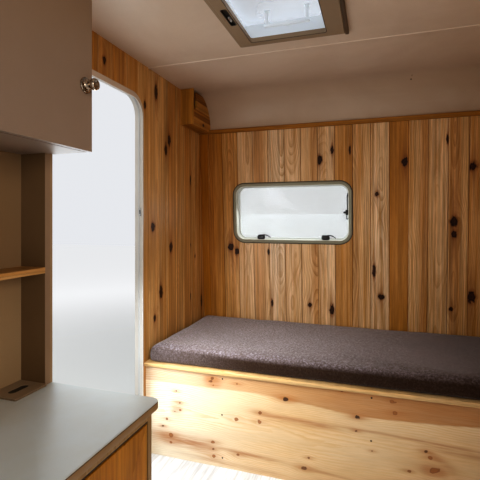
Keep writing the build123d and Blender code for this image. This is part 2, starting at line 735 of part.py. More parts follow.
def build_locker():
    bottom = floor_level + locker_bottom
    face = -side_face + locker_depth
    door_back = face - locker_door_thick
    front = door_back - cabinet_gap
    p = locker_panel
    carcass = block(-side_face, front, cut_y, galley_far_y, bottom, bottom + p)
    carcass += block(-side_face, front, cut_y, cut_y + p, bottom, ceiling)
    carcass += block(-side_face, front, galley_far_y - p, galley_far_y, bottom, ceiling)
    save("locker_carcass", carcass)
    axis_y = cut_y + cabinet_hinge_radius + 1
    door_near = axis_y + cabinet_hinge_radius + 1
    door_high = ceiling - cabinet_gap
    door = block(door_back, face, door_near, galley_far_y, bottom, door_high)
    save("locker_door", fillet(door.faces().sort_by(Axis.X)[-1].edges(), 1.5))
    save("locker_knob", knob(face, galley_far_y - knob_inset, bottom + knob_height_above_locker))
    axis_x = face + cabinet_hinge_radius
    heights = (bottom + 50, door_high - 50 - cabinet_hinge_length)
    # The fixed leaf passes the door's near edge and turns onto the carcass end.
    frame_leaf = (front, axis_x, axis_y - 3.5, axis_y - 2)
    door_leaf = (face, face + 1.5, axis_y, door_near + 22)
    fixed, moving = cabinet_hinges(axis_x, axis_y, heights, frame_leaf, door_leaf)
    for z in heights:
        fixed.append(block(front, front + 1.5, cut_y + 1.5, cut_y + p, z, z + cabinet_hinge_length))
    save("locker_hinge_leaves", *moving)
    return fixed


def build_corner_box():
    """A pine box in the corner over the doorway's wall, its slats cut to the ceiling's curve."""
    x0, x1 = -side_face, -side_face + corner_box_width
    y0 = end_face - corner_box_length
    bottom = ceiling - corner_box_height
    room = body_profile(x0, x1, y0, lining_end, bottom, ceiling, lining_radius)
    room -= block(x0, x1, lining_end - ledge_proud - 2, end_face, bottom, wall_top)
    front = room & block(x0, x1, y0, y0 + board_thick, bottom, ceiling)
    floor = room & block(x0, x1 - board_thick, y0 + board_thick, end_face, bottom, bottom + board_thick)
    save("corner_box", front + floor)
    slats = []
    z = bottom
    while z < ceiling - 10:
        top = min(z + corner_slat_height - corner_slat_gap, ceiling)
        # The upper slats stop short of the front board.
        start = y0 + board_thick + (corner_slat_setback if z > bottom + corner_slat_height * 1.5 else 0)
        slats.extend((room & block(x1 - board_thick, x1 - 2, start, end_face, z, top)).solids())
        z += corner_slat_height
    save("corner_box_slats", *slats)


build_floor()
build_side_walls()
build_end_wall()
build_roof()
build_edge_rails()
build_window()
build_hatch()
build_door_frame()
door_axis = build_entrance_door()
build_bench()
hinges = build_galley()
build_niche()
hinges += build_locker()
save("cabinet_hinge_feet", *hinges)
build_corner_box()
print("entrance door axis", door_axis)
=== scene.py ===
import bmesh
import bpy
import json
import math
import numpy as np
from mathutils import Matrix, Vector

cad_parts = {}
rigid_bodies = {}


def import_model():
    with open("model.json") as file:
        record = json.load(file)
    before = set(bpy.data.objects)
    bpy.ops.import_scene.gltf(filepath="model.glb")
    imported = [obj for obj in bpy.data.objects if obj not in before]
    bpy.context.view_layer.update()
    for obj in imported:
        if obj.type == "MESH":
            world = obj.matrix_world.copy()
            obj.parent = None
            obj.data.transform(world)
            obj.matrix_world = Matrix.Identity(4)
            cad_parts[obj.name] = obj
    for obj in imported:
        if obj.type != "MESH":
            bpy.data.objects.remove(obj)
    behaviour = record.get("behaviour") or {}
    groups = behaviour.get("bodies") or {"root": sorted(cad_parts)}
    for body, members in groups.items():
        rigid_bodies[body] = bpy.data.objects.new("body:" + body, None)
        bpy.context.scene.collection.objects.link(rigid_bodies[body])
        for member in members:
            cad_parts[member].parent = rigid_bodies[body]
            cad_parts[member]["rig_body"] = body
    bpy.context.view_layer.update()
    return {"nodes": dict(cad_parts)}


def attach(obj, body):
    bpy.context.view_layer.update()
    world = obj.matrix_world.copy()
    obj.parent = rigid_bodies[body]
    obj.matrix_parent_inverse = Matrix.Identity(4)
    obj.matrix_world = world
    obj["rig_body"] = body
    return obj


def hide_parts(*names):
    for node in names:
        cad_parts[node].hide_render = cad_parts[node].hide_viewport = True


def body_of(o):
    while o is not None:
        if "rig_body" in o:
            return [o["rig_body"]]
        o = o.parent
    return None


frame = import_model()
nodes = frame["nodes"]
scene = bpy.context.scene
print("stage: frame loaded,", len(nodes), "nodes")


class Paint:
    # One material's nodes, made in code. Each method adds a node and gives back its output.
    def __init__(self, name):
        self.material = bpy.data.materials.new(name)
        self.material.use_nodes = True
        self.tree = self.material.node_tree
        self.tree.nodes.clear()
        output = self.tree.nodes.new("ShaderNodeOutputMaterial")
        self.shader = self.tree.nodes.new("ShaderNodeBsdfPrincipled")
        self.tree.links.new(self.shader.outputs[0], output.inputs[0])
        self.place = self.tree.nodes.new("ShaderNodeTexCoord").outputs["Object"]

    def feed(self, socket, value):
        if isinstance(value, bpy.types.NodeSocket):
            self.tree.links.new(value, socket)
        elif socket.type == "RGBA" and len(value) == 3:
            socket.default_value = (*value, 1)
        else:
            socket.default_value = value

    def node(self, kind, sockets, **settings):
        made = self.tree.nodes.new("ShaderNode" + kind)
        for key, value in settings.items():
            setattr(made, key, value)
        for key, value in sockets.items():
            self.feed(made.inputs[key], value)
        return made

    def maths(self, operation, *values):
        return self.node("Math", dict(enumerate(values)), operation=operation).outputs[0]

    def times(self, first, second):
        return self.maths("MULTIPLY", first, second)

    def plus(self, first, second):
        return self.maths("ADD", first, second)

    def both(self, first, second, third):
        return self.maths("MULTIPLY_ADD", first, second, third)

    def vector(self, x, y, z):
        return self.node("CombineXYZ", {0: x, 1: y, 2: z}).outputs[0]

    def split(self, vector):
        return list(self.node("SeparateXYZ", {0: vector}).outputs)

    def attribute(self, key):
        return self.split(self.node("Attribute", {}, attribute_name=key).outputs["Vector"])

    def stretch(self, x, y, z, vector=None):
        return self.node("Mapping", {"Vector": vector or self.place, "Scale": (x, y, z)}).outputs[0]

    def noise(self, vector, scale=1.0, detail=2.0, roughness=0.5, distortion=0.0):
        sockets = {"Vector": vector, "Scale": scale, "Detail": detail, "Roughness": roughness,
                   "Distortion": distortion}
        return self.node("TexNoise", sockets).outputs[0]

    def dice(self, seed):
        return self.split(self.node("TexWhiteNoise", {"W": seed}, noise_dimensions="1D").outputs["Color"])

    def ease(self, value, low, high, first=0.0, last=1.0):
        sockets = {"Value": value, "From Min": low, "From Max": high, "To Min": first, "To Max": last}
        return self.node("MapRange", sockets, interpolation_type="SMOOTHSTEP").outputs[0]

    def blend(self, factor, first, second, how="MIX"):
        made = self.node("Mix", {0: factor, 6: first, 7: second}, data_type="RGBA", blend_type=how)
        return made.outputs[2]

    def shade(self, colour, level):
        return self.blend(1.0, colour, self.vector(level, level, level), "MULTIPLY")

    def ramp(self, factor, stops):
        made = self.node("ValToRGB", {0: factor})
        points = made.color_ramp.elements
        while len(points) < len(stops):
            points.new(0.5)
        for point, (place, colour) in zip(points, stops):
            point.position = place
            point.color = (*colour, 1)
        return made.outputs[0]

    def bump(self, height, depth, strength=1.0, under=None):
        sockets = {"Height": height, "Distance": depth, "Strength": strength}
        if under:
            sockets["Normal"] = under
        return self.node("Bump", sockets).outputs[0]

    def finish(self, sockets):
        for key, value in sockets.items():
            self.feed(self.shader.inputs[key], value)
        return self.material


def paintNode(name, material):
    piece = nodes[name]
    piece.data.materials.clear()
    piece.data.materials.append(material)


def addPiece(name, points, faces, look, bands=None):
    # Computed points and faces become a mesh: doubles joined, faces turned outwards, piece handed to the frame.
    mesh = bpy.data.meshes.new(name)
    mesh.from_pydata(np.asarray(points).reshape(-1, 3).tolist(), [], [list(map(int, face)) for face in faces])
    for material in look["materials"]:
        mesh.materials.append(material)
    if bands is not None:
        mesh.polygons.foreach_set("material_index", np.asarray(bands, dtype=np.int32))
    work = bmesh.new()
    work.from_mesh(mesh)
    bmesh.ops.remove_doubles(work, verts=work.verts, dist=1e-6)
    bmesh.ops.recalc_face_normals(work, faces=work.faces)
    work.to_mesh(mesh)
    work.free()
    mesh.shade_smooth()
    mesh.set_sharp_from_angle(angle=math.radians(look.get("sharp", 38)))
    piece = bpy.data.objects.new(name, mesh)
    scene.collection.objects.link(piece)
    if look.get("replaces"):
        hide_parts(*look["replaces"])
    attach(piece, look["body"])
    return piece


def loft(rings, wrap=False, firstCap=True, lastCap=True):
    # Rings of equally many points, each closed. Quads join point j and j + 1 of one ring to those of the next.
    rings = np.asarray(rings, dtype=float)
    rows, columns = rings.shape[:2]
    index = np.arange(rows * columns).reshape(rows, columns)
    here = index if wrap else index[:-1]
    there = np.roll(index, -1, axis=0) if wrap else index[1:]
    quads = np.stack([here, np.roll(here, -1, axis=1), np.roll(there, -1, axis=1), there], axis=-1).reshape(-1, 4)
    faces = quads.tolist()
    rowOf = np.repeat(np.arange(len(here)), columns).tolist()
    if not wrap and firstCap:
        faces.append(index[0][::-1].tolist())
        rowOf.append(0)
    if not wrap and lastCap:
        faces.append(index[-1].tolist())
        rowOf.append(rows - 1)
    return rings.reshape(-1, 3), faces, np.array(rowOf)


def joined(parts):
    # Several (points, faces, rows) as one.
    points, faces, rows, shift = [], [], [], 0
    for partPoints, partFaces, partRows in parts:
        points.append(np.asarray(partPoints).reshape(-1, 3))
        faces += [[corner + shift for corner in face] for face in partFaces]
        rows.append(np.asarray(partRows))
        shift += len(points[-1])
    return np.concatenate(points), faces, np.concatenate(rows)


def shown(material, slot, replaces=None, body="body_shell", **more):
    # What addPiece needs to know: the material, the node that the piece stands for and the body it rides. The slot is
    # carried along but not used.
    return {"materials": [material], "slot": slot, "replaces": replaces and [replaces], "body": body, **more}


def addParts(name, parts, look):
    points, faces, rowOf = joined(parts)
    return addPiece(name, leaning(points) if look.get("leaning") else points, faces, look)


def roundedOutline(left, right, low, high, radii, steps=7):
    # Anticlockwise from the right upper corner: each corner's centre plus its radius times the cosine and sine of an
    # angle that runs on through a quarter turn.
    radii = np.broadcast_to(np.asarray(radii, dtype=float), (4,))
    turns = np.linspace(0, np.pi / 2, steps + 1)
    angles = (turns[None, :] + np.arange(4)[:, None] * np.pi / 2).ravel()
    radius = np.repeat(radii, steps + 1)
    across = np.repeat([right, left, left, right], steps + 1) + radius * np.repeat([-1, 1, 1, -1], steps + 1)
    up = np.repeat([high, high, low, low], steps + 1) + radius * np.repeat([-1, -1, 1, 1], steps + 1)
    return np.stack([across + radius * np.cos(angles), up + radius * np.sin(angles)], axis=1)


def ringsOn(box, radius, profile, plane, steps=7):
    # A profile of (outward offset, height) pairs carried round a rounded rectangle. plane says which axes the
    # rectangle's two directions and the height follow.
    left, right, low, high = box
    rings = []
    for outward, height in profile:
        outline = roundedOutline(left - outward, right + outward, low - outward, high + outward,
                                 np.maximum(np.asarray(radius) + outward, 0.0004), steps)
        columns = {plane[0]: outline[:, 0], plane[1]: outline[:, 1], plane[2]: np.full(len(outline), height)}
        rings.append(np.stack([columns["x"], columns["y"], columns["z"]], axis=1))
    return np.array(rings)


def turnedRings(centre, axis, profile, steps=24):
    # A lathe: each pair of radius and height gives a circle, radius times cosine and sine, at that height.
    angles = np.linspace(0, 2 * np.pi, steps, endpoint=False)
    order = {"x": (1, 2, 0), "y": (2, 0, 1), "z": (0, 1, 2)}[axis]
    rings = np.zeros((len(profile), steps, 3))
    radii, heights = np.array(profile, dtype=float).T
    rings[:, :, order[0]] = radii[:, None] * np.cos(angles)
    rings[:, :, order[1]] = radii[:, None] * np.sin(angles)
    rings[:, :, order[2]] = heights[:, None]
    return rings + np.asarray(centre, dtype=float)


def pebbleRings(centre, half, square=(0.45, 0.45), rows=12, steps=24):
    # A superellipsoid: each half size times a signed power of the cosine and sine of latitude and longitude.
    power = lambda value, exponent: np.sign(value) * np.abs(value) ** exponent
    tilt = np.linspace(-np.pi / 2, np.pi / 2, rows + 1)[:, None]
    turn = np.linspace(0, 2 * np.pi, steps, endpoint=False)[None, :]
    x = half[0] * power(np.cos(tilt), square[0]) * power(np.cos(turn), square[1])
    y = half[1] * power(np.cos(tilt), square[0]) * power(np.sin(turn), square[1])
    z = half[2] * power(np.sin(tilt), square[0]) * np.ones_like(turn)
    return np.stack([x, y, z], axis=-1) + np.asarray(centre, dtype=float)


def pebble(*shape):
    return loft(pebbleRings(*shape), firstCap=False, lastCap=False)


def lathe(*shape):
    return loft(turnedRings(*shape), firstCap=False, lastCap=False)


def tubeRings(path, side, sizes, steps=14):
    # An oval carried along a flat path: at each point the oval's width lies along side and its height along side
    # crossed with the path's direction.
    path = np.asarray(path, dtype=float)
    side = np.asarray(side, dtype=float)
    ahead = np.gradient(path, axis=0)
    ahead /= np.linalg.norm(ahead, axis=1)[:, None]
    up = np.cross(side, ahead)
    sizes = np.broadcast_to(np.asarray(sizes, dtype=float), (len(path), 2))
    angles = np.linspace(0, 2 * np.pi, steps, endpoint=False)
    return (path[:, None, :] + sizes[:, None, 0:1] * np.cos(angles)[None, :, None] * side
            + sizes[:, None, 1:2] * np.sin(angles)[None, :, None] * up[:, None, :])


def smoothPath(points, count=24):
    # A Bezier curve of any degree through its control points, by the Bernstein sum.
    points = np.asarray(points, dtype=float)
    degree = len(points) - 1
    t = np.linspace(0, 1, count)[:, None]
    terms = [math.comb(degree, k) * t ** k * (1 - t) ** (degree - k) * points[k] for k in range(degree + 1)]
    return np.sum(terms, axis=0)


def swell(across, along, seed, size, count=9):
    # Smooth unevenness from -1 to 1: a mean of sine waves whose directions and phases come from a seed.
    dice = np.random.default_rng(seed)
    total = np.zeros_like(across)
    for angle, phase, pace in zip(dice.uniform(0, 2 * np.pi, count), dice.uniform(0, 2 * np.pi, count),
                                  dice.uniform(0.5, 1.6, count)):
        total += np.sin((across * math.cos(angle) + along * math.sin(angle)) * 2 * np.pi * pace / size + phase)
    return total / count ** 0.5


lean = {"angle": math.radians(3.75), "foot": 0.9065, "height": 0.552}


def leaning(points):
    # Turns points drawn on an upright end wall to the wall's lean, about a line at the cushion's top.
    points = np.array(points, dtype=float)
    y, z = points[..., 1] - lean["foot"], points[..., 2] - lean["height"]
    points[..., 1] = lean["foot"] + y * math.cos(lean["angle"]) - z * math.sin(lean["angle"])
    points[..., 2] = lean["height"] + y * math.sin(lean["angle"]) + z * math.cos(lean["angle"])
    return points


def dressWood(nodeName, name, body, look, material):
    # Copies a cladding node. A corner's attributes are its distances across and along from its board's middle and
    # from up to three knots, so they run straight over each triangle, and its board's tone and heartwood.
    mesh = nodes[nodeName].data.copy()
    mesh.name = name
    count = len(mesh.polygons)
    places = np.empty(len(mesh.vertices) * 3)
    mesh.vertices.foreach_get("co", places)
    corners = np.empty(len(mesh.loops), dtype=np.int32)
    mesh.loops.foreach_get("vertex_index", corners)
    spots = places.reshape(-1, 3)[corners]
    centres = np.repeat(spots.reshape(count, 3, 3).mean(1), 3, axis=0)
    axes = {"x": 0, "y": 1, "z": 2}
    across, along = axes[look["across"]], axes[look["along"]]
    joints = np.array(look["joints"])
    index = np.clip(np.searchsorted(joints, centres[:, across]) - 1, 0, len(joints) - 2)
    middles = (joints[:-1] + joints[1:]) / 2
    seeds = look["seed"] + np.arange(len(middles)) * 1.37
    boards = np.array(look["boards"])[np.arange(len(middles)) % len(look["boards"])][index]
    knots = np.full((len(middles), 3, 4), 50.0)
    knots[:, :, 2:] = (0.01, 1.0)
    held = np.zeros(len(middles), dtype=int)
    for knot in look["knots"]:
        board = int(np.clip(np.searchsorted(joints, knot[0]) - 1, 0, len(middles) - 1))
        if held[board] < 3:
            knots[board, held[board]] = knot
            held[board] += 1
    table = {
        "boardPlace": np.stack([spots[:, across] - middles[index], spots[:, along], seeds[index]], 1),
        "boardTone": boards[:, 0:3],
        "boardHeart": boards[:, 3:6],
    }
    for number, key in enumerate(("knotOne", "knotTwo", "knotThree")):
        knot = knots[index, number]
        table[key] = np.stack([spots[:, across] - knot[:, 0], (spots[:, along] - knot[:, 1]) / knot[:, 3],
                               knot[:, 2]], 1)
    for key, values in table.items():
        attribute = mesh.attributes.new(key, "FLOAT_VECTOR", "CORNER")
        attribute.data.foreach_set("vector", values.astype(np.float32).ravel())
    mesh.materials.clear()
    mesh.materials.append(material)
    piece = bpy.data.objects.new(name, mesh)
    scene.collection.objects.link(piece)
    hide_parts(nodeName)
    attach(piece, body)


def pineMaterial(name, look):
    # The colour follows the distance from a wandering pith, ring by ring. The grain is pushed aside round each knot.
    paint = Paint(name)
    times, plus, both, maths, ease, blend = paint.times, paint.plus, paint.both, paint.maths, paint.ease, paint.blend
    noise, vector = paint.noise, paint.vector
    offset, along, seed = paint.attribute("boardPlace")
    tone, pith, pitch = paint.attribute("boardTone")
    heartAt, heartHalf, heartShare = paint.attribute("boardHeart")
    far = times(seed, 7.31)
    first, second, third = paint.dice(both(seed, 3.17, 0.4))

    shake = noise(vector(times(offset, 70), far, times(along, 38)), 1.0, 2, 0.6)
    wobble = both(shake, 1.7, -0.85)
    pull = push = near = bar = None
    for key in ("knotOne", "knotTwo", "knotThree"):
        sideways, lengthways, radius = paint.attribute(key)
        a = maths("DIVIDE", sideways, radius)
        b = maths("DIVIDE", lengthways, radius)
        aa, bb = times(a, a), times(b, b)
        reach = plus(maths("POWER", plus(maths("POWER", aa, 0.95), maths("POWER", bb, 0.8)), 0.56), wobble)
        fade = maths("EXPONENT", times(both(aa, 0.10, times(bb, 0.045)), -1.0))
        draw = times(times(sideways, fade), 0.92)
        tail = maths("EXPONENT", times(both(aa, 0.8, times(bb, 0.04)), -1.0))
        pull = draw if pull is None else plus(pull, draw)
        push = fade if push is None else maths("MAXIMUM", push, fade)
        near = reach if near is None else maths("MINIMUM", near, reach)
        bar = tail if bar is None else maths("MAXIMUM", bar, tail)

    swing = noise(vector(far, times(along, 1.7), 0.0), 1.0, 2, 0.5)
    sink = noise(vector(times(along, 2.0), far, times(offset, 3)), 1.0, 1, 0.5)
    ripple = noise(vector(times(offset, 22), far, times(along, 8)), 1.0, 2, 0.5)
    fromPith = maths("SUBTRACT", maths("SUBTRACT", offset, pull), both(swing, 0.04, maths("SUBTRACT", pith, 0.02)))
    deep = both(sink, look["arch"], both(first, 0.05, 0.004 - 0.5 * look["arch"]))
    radius = maths("SQRT", both(fromPith, fromPith, times(deep, deep)))
    radius = both(ripple, look["ripple"], radius)
    growth = noise(vector(times(radius, 45), far, 0.0), 1.0, 2)
    turn = maths("FRACT", plus(maths("DIVIDE", radius, times(pitch, 1.35)), times(growth, 2.2)))
    late = times(ease(turn, 0.3, 0.93), ease(turn, 0.95, 1.0, 1.0, 0.0))
    thin = maths("FRACT", maths("DIVIDE", radius, times(pitch, 0.31)))
    power = noise(vector(times(offset, 20), far, times(along, 2.2)), 1.0, 2)
    late = times(both(ease(thin, 0.3, 0.9), 0.2, times(late, 0.9)), ease(power, 0.3, 0.7, 0.4, 1.2))
    fibre = noise(vector(times(offset, 620), far, times(along, 16)), 1.0, 3, 0.62)
    streak = noise(vector(times(offset, 48), far, along), 1.0, 3, 0.6)
    fine = noise(vector(times(offset, 95), far, times(along, 1.4)), 1.0, 3, 0.65)
    cloud = noise(vector(times(offset, 11), far, times(along, 1.6)), 1.0, 3, 0.6)
    band = noise(vector(far, times(along, 1.4), 3.0), 1.0, 2, 0.5)

    wood = paint.ramp(plus(tone, both(cloud, 0.6, -0.30)), look["sap"])
    edgeWay = both(streak, 0.024, both(swing, 0.02, -0.022))
    heartEdge = maths("SUBTRACT", maths("ABSOLUTE", maths("SUBTRACT", plus(offset, edgeWay), heartAt)), heartHalf)
    heart = times(times(ease(heartEdge, -0.006, 0.006, 1.0, 0.0), heartShare), ease(band, 0.25, 0.6, 0.6, 1.0))
    heartColour = blend(tone, look["heart"], look["heartDeep"])
    wood = blend(heart, wood, heartColour)
    wood = blend(times(ease(streak, 0.48, 0.62), ease(third, 0.0, 1.0, 0.5 * look["streak"], 1.4 * look["streak"])),
                 wood, look["streakColour"])
    wood = blend(times(late, look["lateShare"]), wood, blend(heart, look["late"], look["lateHeart"]))
    wood = blend(times(bar, look["tail"]), wood, look["halo"])
    wood = blend(ease(near, 0.9, 2.1, look["collar"], 0.0), wood, look["halo"])
    core = paint.ramp(times(near, 0.8), look["knot"])
    wood = blend(ease(near, 0.95, 1.3, look["knotDark"], 0.0), wood, core)
    # painted shade: a dark line along each board's edges, in the V-groove between boards
    side = maths("ABSOLUTE", offset)
    grooveShade = times(ease(side, 0.0468, 0.0479), ease(side, 0.0484, 0.0488, 1.0, 0.0))
    wood = blend(times(grooveShade, 0.75), wood, look["halo"])
    lines = both(ease(fine, 0.34, 0.66, -0.27, 0.17), ease(second, 0.0, 1.0, 0.45, 1.15), 1.0)
    wood = paint.shade(wood, times(times(ease(fibre, 0.3, 0.7, 0.84, 1.08), lines),
                                   ease(cloud, 0.25, 0.75, 1.08, 0.9)))
    height = both(late, 0.4, times(fibre, 0.5))
    normal = paint.bump(cloud, 0.004, 0.35)
    normal = paint.bump(height, 0.0003, 0.5, normal)
    return paint.finish({
        "Base Color": wood,
        "Roughness": ease(fibre, 0.25, 0.75, look["gloss"], look["gloss"] + 0.14),
        "Specular IOR Level": 0.22,
        "Coat Weight": look["varnish"],
        "Coat Roughness": 0.3,
        "Normal": normal,
    })


pineLook = {
    "sap": [(0.0, (0.83, 0.64, 0.45)), (0.3, (0.74, 0.485, 0.27)), (0.65, (0.63, 0.34, 0.12)),
            (1.0, (0.41, 0.155, 0.009))],
    "heart": (0.62, 0.30, 0.105), "heartDeep": (0.40, 0.155, 0.02), "late": (0.40, 0.185, 0.04),
    "lateHeart": (0.20, 0.065, 0.006), "lateShare": 0.55, "streak": 0.55, "streakColour": (0.47, 0.205, 0.038),
    "halo": (0.22, 0.07, 0.016), "tail": 0.55, "collar": 0.75,
    "knot": [(0.0, (0.018, 0.006, 0.003)), (0.4, (0.045, 0.013, 0.005)), (0.72, (0.008, 0.003, 0.002)),
             (1.0, (0.06, 0.018, 0.006))],
    "knotDark": 0.96, "arch": 0.12, "ripple": 0.0028, "gloss": 0.42, "varnish": 0.06,
}
wallPine = pineMaterial("pineWall", pineLook)
sideLook = {**pineLook, "sap": [(0.0, (0.66, 0.42, 0.20)), (0.4, (0.56, 0.31, 0.115)), (1.0, (0.40, 0.17, 0.04))],
            "streak": 0.6, "lateShare": 0.5}
sidePine = pineMaterial("pineSide", sideLook)
galleyPine = pineMaterial("pineGalley", {
    **sideLook, "sap": [(0.0, (0.66, 0.36, 0.09)), (0.5, (0.52, 0.235, 0.025)), (1.0, (0.30, 0.10, 0.006))],
    "lateShare": 0.18,
    "streak": 0.35, "streakColour": (0.30, 0.11, 0.006), "heart": (0.5, 0.22, 0.03), "heartDeep": (0.4, 0.15, 0.01)})
darkPine = pineMaterial("pineDark", {**sideLook, "sap": [(0.0, (0.58, 0.31, 0.08)), (0.5, (0.38, 0.16, 0.022)),
                                                         (1.0, (0.20, 0.065, 0.006))]})
edgeLook = {
    **pineLook,
    "sap": [(0.0, (0.78, 0.58, 0.34)), (0.5, (0.64, 0.43, 0.21)), (1.0, (0.50, 0.28, 0.10))],
    "heart": (0.64, 0.36, 0.14), "heartDeep": (0.5, 0.24, 0.07), "late": (0.55, 0.30, 0.10),
    "lateHeart": (0.42, 0.18, 0.05),
    "lateShare": 0.5, "streak": 0.25, "streakColour": (0.6, 0.33, 0.12), "halo": (0.44, 0.20, 0.06), "tail": 0.35,
    "collar": 0.6,
}
edgePine = pineMaterial("pineEdge", edgeLook)

# tone, pith offset, ring pitch, heartwood middle, half width and strength, board by board from the doorway's side
endBoards = [
    (1.0, 0.05, 0.006, 0.0, 0.05, 0.4), (0.86, -0.05, 0.006, -0.03, 0.016, 0.8),
    (0.62, 0.0, 0.007, 0.012, 0.014, 0.5),
    (0.30, 0.01, 0.0065, 0.05, 0.005, 0.3), (0.30, 0.05, 0.006, -0.010, 0.030, 0.55),
    (0.16, 0.02, 0.007, 0.0, 0.0, 0.0),
    (0.28, 0.0, 0.006, -0.05, 0.006, 0.4), (0.34, 0.04, 0.007, 0.03, 0.016, 0.6), (0.30, -0.01, 0.006, 0.0, 0.0, 0.0),
    (0.62, 0.08, 0.0045, 0.0, 0.05, 0.35), (0.42, -0.06, 0.007, -0.03, 0.014, 0.45),
    (0.24, 0.0, 0.006, 0.0, 0.0, 0.0),
    (0.90, 0.075, 0.005, 0.0, 0.06, 0.35), (0.46, -0.07, 0.007, 0.028, 0.02, 0.7), (0.40, 0.0, 0.008, 0.0, 0.0, 0.0),
    (0.46, -0.02, 0.007, -0.016, 0.026, 0.7), (0.56, 0.05, 0.006, 0.0, 0.05, 0.4), (0.40, 0.0, 0.006, 0.0, 0.0, 0.0),
    (0.55, -0.05, 0.006, -0.02, 0.02, 0.6), (0.35, 0.02, 0.007, 0.0, 0.0, 0.0), (0.6, 0.06, 0.006, 0.0, 0.04, 0.5),
]
# knots: place across and along, radius, and how many times longer than wide
endKnots = [
    (-0.236, 1.494, 0.015, 1.4), (-0.162, 1.547, 0.007, 3.0), (0.079, 1.294, 0.010, 1.2), (0.222, 1.463, 0.014, 1.6),
    (0.548, 1.428, 0.019, 0.9), (0.463, 1.145, 0.015, 1.4), (0.464, 1.077, 0.011, 1.8), (0.064, 0.865, 0.008, 3.6),
    (0.101, 0.720, 0.013, 1.1), (0.548, 0.746, 0.018, 1.5), (-0.295, 0.649, 0.010, 1.1), (-0.168, 0.628, 0.011, 2.2),
    (-0.782, 0.982, 0.016, 1.2), (-0.742, 0.955, 0.012, 1.5), (0.454, 0.676, 0.009, 1.0), (-0.542, 0.957, 0.005, 3.0),
    (-0.185, 0.744, 0.005, 1.4), (0.428, 1.573, 0.005, 4.0), (-0.525, 0.646, 0.006, 3.0), (0.70, 1.20, 0.012, 1.4),
    (0.83, 0.80, 0.010, 1.3), (0.90, 1.50, 0.012, 1.6), (-0.064, 1.541, 0.005, 4.0),
]
sideKnots = [
    (0.433, 1.577, 0.015, 1.7), (0.399, 1.518, 0.012, 1.9), (0.709, 1.389, 0.011, 2.2), (0.266, 1.116, 0.015, 1.2),
    (0.455, 1.005, 0.015, 1.4), (0.346, 0.781, 0.015, 1.8), (0.709, 0.690, 0.010, 1.8), (0.295, 1.793, 0.012, 2.6),
    (0.709, 1.001, 0.007, 1.4), (0.766, 0.930, 0.006, 1.6), (0.285, 0.661, 0.010, 1.2), (0.862, 0.639, 0.008, 4.0),
    (0.191, 1.700, 0.008, 1.8), (-0.12, 1.80, 0.01, 1.3),
]
endJoints = [-0.975] + [round(-0.9234 + 0.097 * k, 4) for k in range(20)] + [0.975]
sideJoints = [round(0.9065 - 0.097 * k, 4) for k in range(20, -2, -1)]
sideBoards = [
    (0.25, 0.02, 0.006, 0.0, 0.0, 0.0), (0.45, 0.06, 0.006, 0.0, 0.03, 0.4), (0.30, -0.03, 0.007, -0.02, 0.015, 0.35),
    (0.5, 0.05, 0.006, 0.0, 0.05, 0.3), (0.25, 0.0, 0.007, 0.03, 0.01, 0.4), (0.4, -0.06, 0.006, 0.0, 0.0, 0.0),
    (0.2, 0.03, 0.007, 0.02, 0.02, 0.25),
]
# the boards over the doorway are darker
doorBoards = [(board[0] + 0.35 * (5 <= k <= 11), *board[1:]) for k, board in enumerate(sideBoards * 3)]
offKnots = [(-0.62, 1.3, 0.013, 1.4), (-0.2, 0.7, 0.012, 1.6), (0.1, 1.5, 0.014, 1.3), (0.36, 0.9, 0.012, 1.8),
            (0.6, 1.2, 0.013, 1.2), (-0.8, 0.5, 0.01, 1.5), (-0.42, 1.62, 0.009, 2.4), (0.72, 1.55, 0.011, 1.4)]
dressWood("end_wall_boards", "endCladding", "body_shell", {
    "across": "x", "along": "z", "joints": endJoints, "seed": 3.0, "boards": endBoards, "knots": endKnots,
    "slot": "pine_cladding"}, wallPine)
dressWood("door_wall_boards", "doorWallCladding", "body_shell", {
    "across": "y", "along": "z", "joints": sideJoints, "seed": 40.0, "boards": doorBoards, "knots": sideKnots,
    "slot": "pine_cladding"}, sidePine)
dressWood("off_wall_boards", "offWallCladding", "body_shell", {
    "across": "y", "along": "z", "joints": sideJoints, "seed": 77.0, "boards": sideBoards[2:] + sideBoards[:3],
    "knots": offKnots, "slot": "pine_cladding"}, sidePine)
smallWood = {
    "bench_top": ("benchTop", "z", "x", [0.44, 0.48], edgePine, (0.5, 0.0, 0.012, 0.0, 0.0, 0.0), []),
    "end_ledge": ("wallLedge", "z", "x", [1.67, 1.72], darkPine, (0.55, 0.0, 0.012, 0.0, 0.0, 0.0), []),
    "niche_shelf": ("nicheShelf", "z", "y", [0.98, 1.02], sidePine, (0.2, 0.0, 0.008, 0.0, 0.0, 0.0), []),
    "corner_box": ("cornerBox", "x", "z", [-0.975, -0.898], darkPine, (0.3, 0.02, 0.011, 0.0, 0.0, 0.0), []),
    "corner_box_slats": ("cornerSlats", "z", "y", [1.688, 1.736, 1.784, 1.832, 1.89], darkPine,
                         [(0.1, 0.0, 0.011, 0.0, 0.0, 0.0), (0.85, 0.02, 0.008, 0.0, 0.0, 0.0),
                          (0.25, -0.02, 0.011, 0.0, 0.0, 0.0),
                          (0.95, 0.0, 0.007, 0.0, 0.0, 0.0)], [(1.71, 0.72, 0.008, 1.2)]),
    "galley_door": ("galleyDoor", "y", "z", [-0.92, -0.80, -0.68, -0.55], galleyPine,
                    (0.6, 0.03, 0.007, 0.02, 0.02, 0.5),
                    [(-0.60, 0.56, 0.007, 1.6), (-0.74, 0.4, 0.012, 1.3), (-0.66, 0.585, 0.004, 3.0),
                     (-0.87, 0.25, 0.011, 1.4)]),
}
for nodeName, (name, across, along, joints, material, board, knots) in smallWood.items():
    dressWood(nodeName, name, body_of(nodes[nodeName])[0], {
        "across": across, "along": along, "joints": joints, "seed": 100.0 + len(name), "knots": knots,
        "boards": board if isinstance(board, list) else [board],
        "slot": "pine_board"}, material)
print("stage: pine dressed")


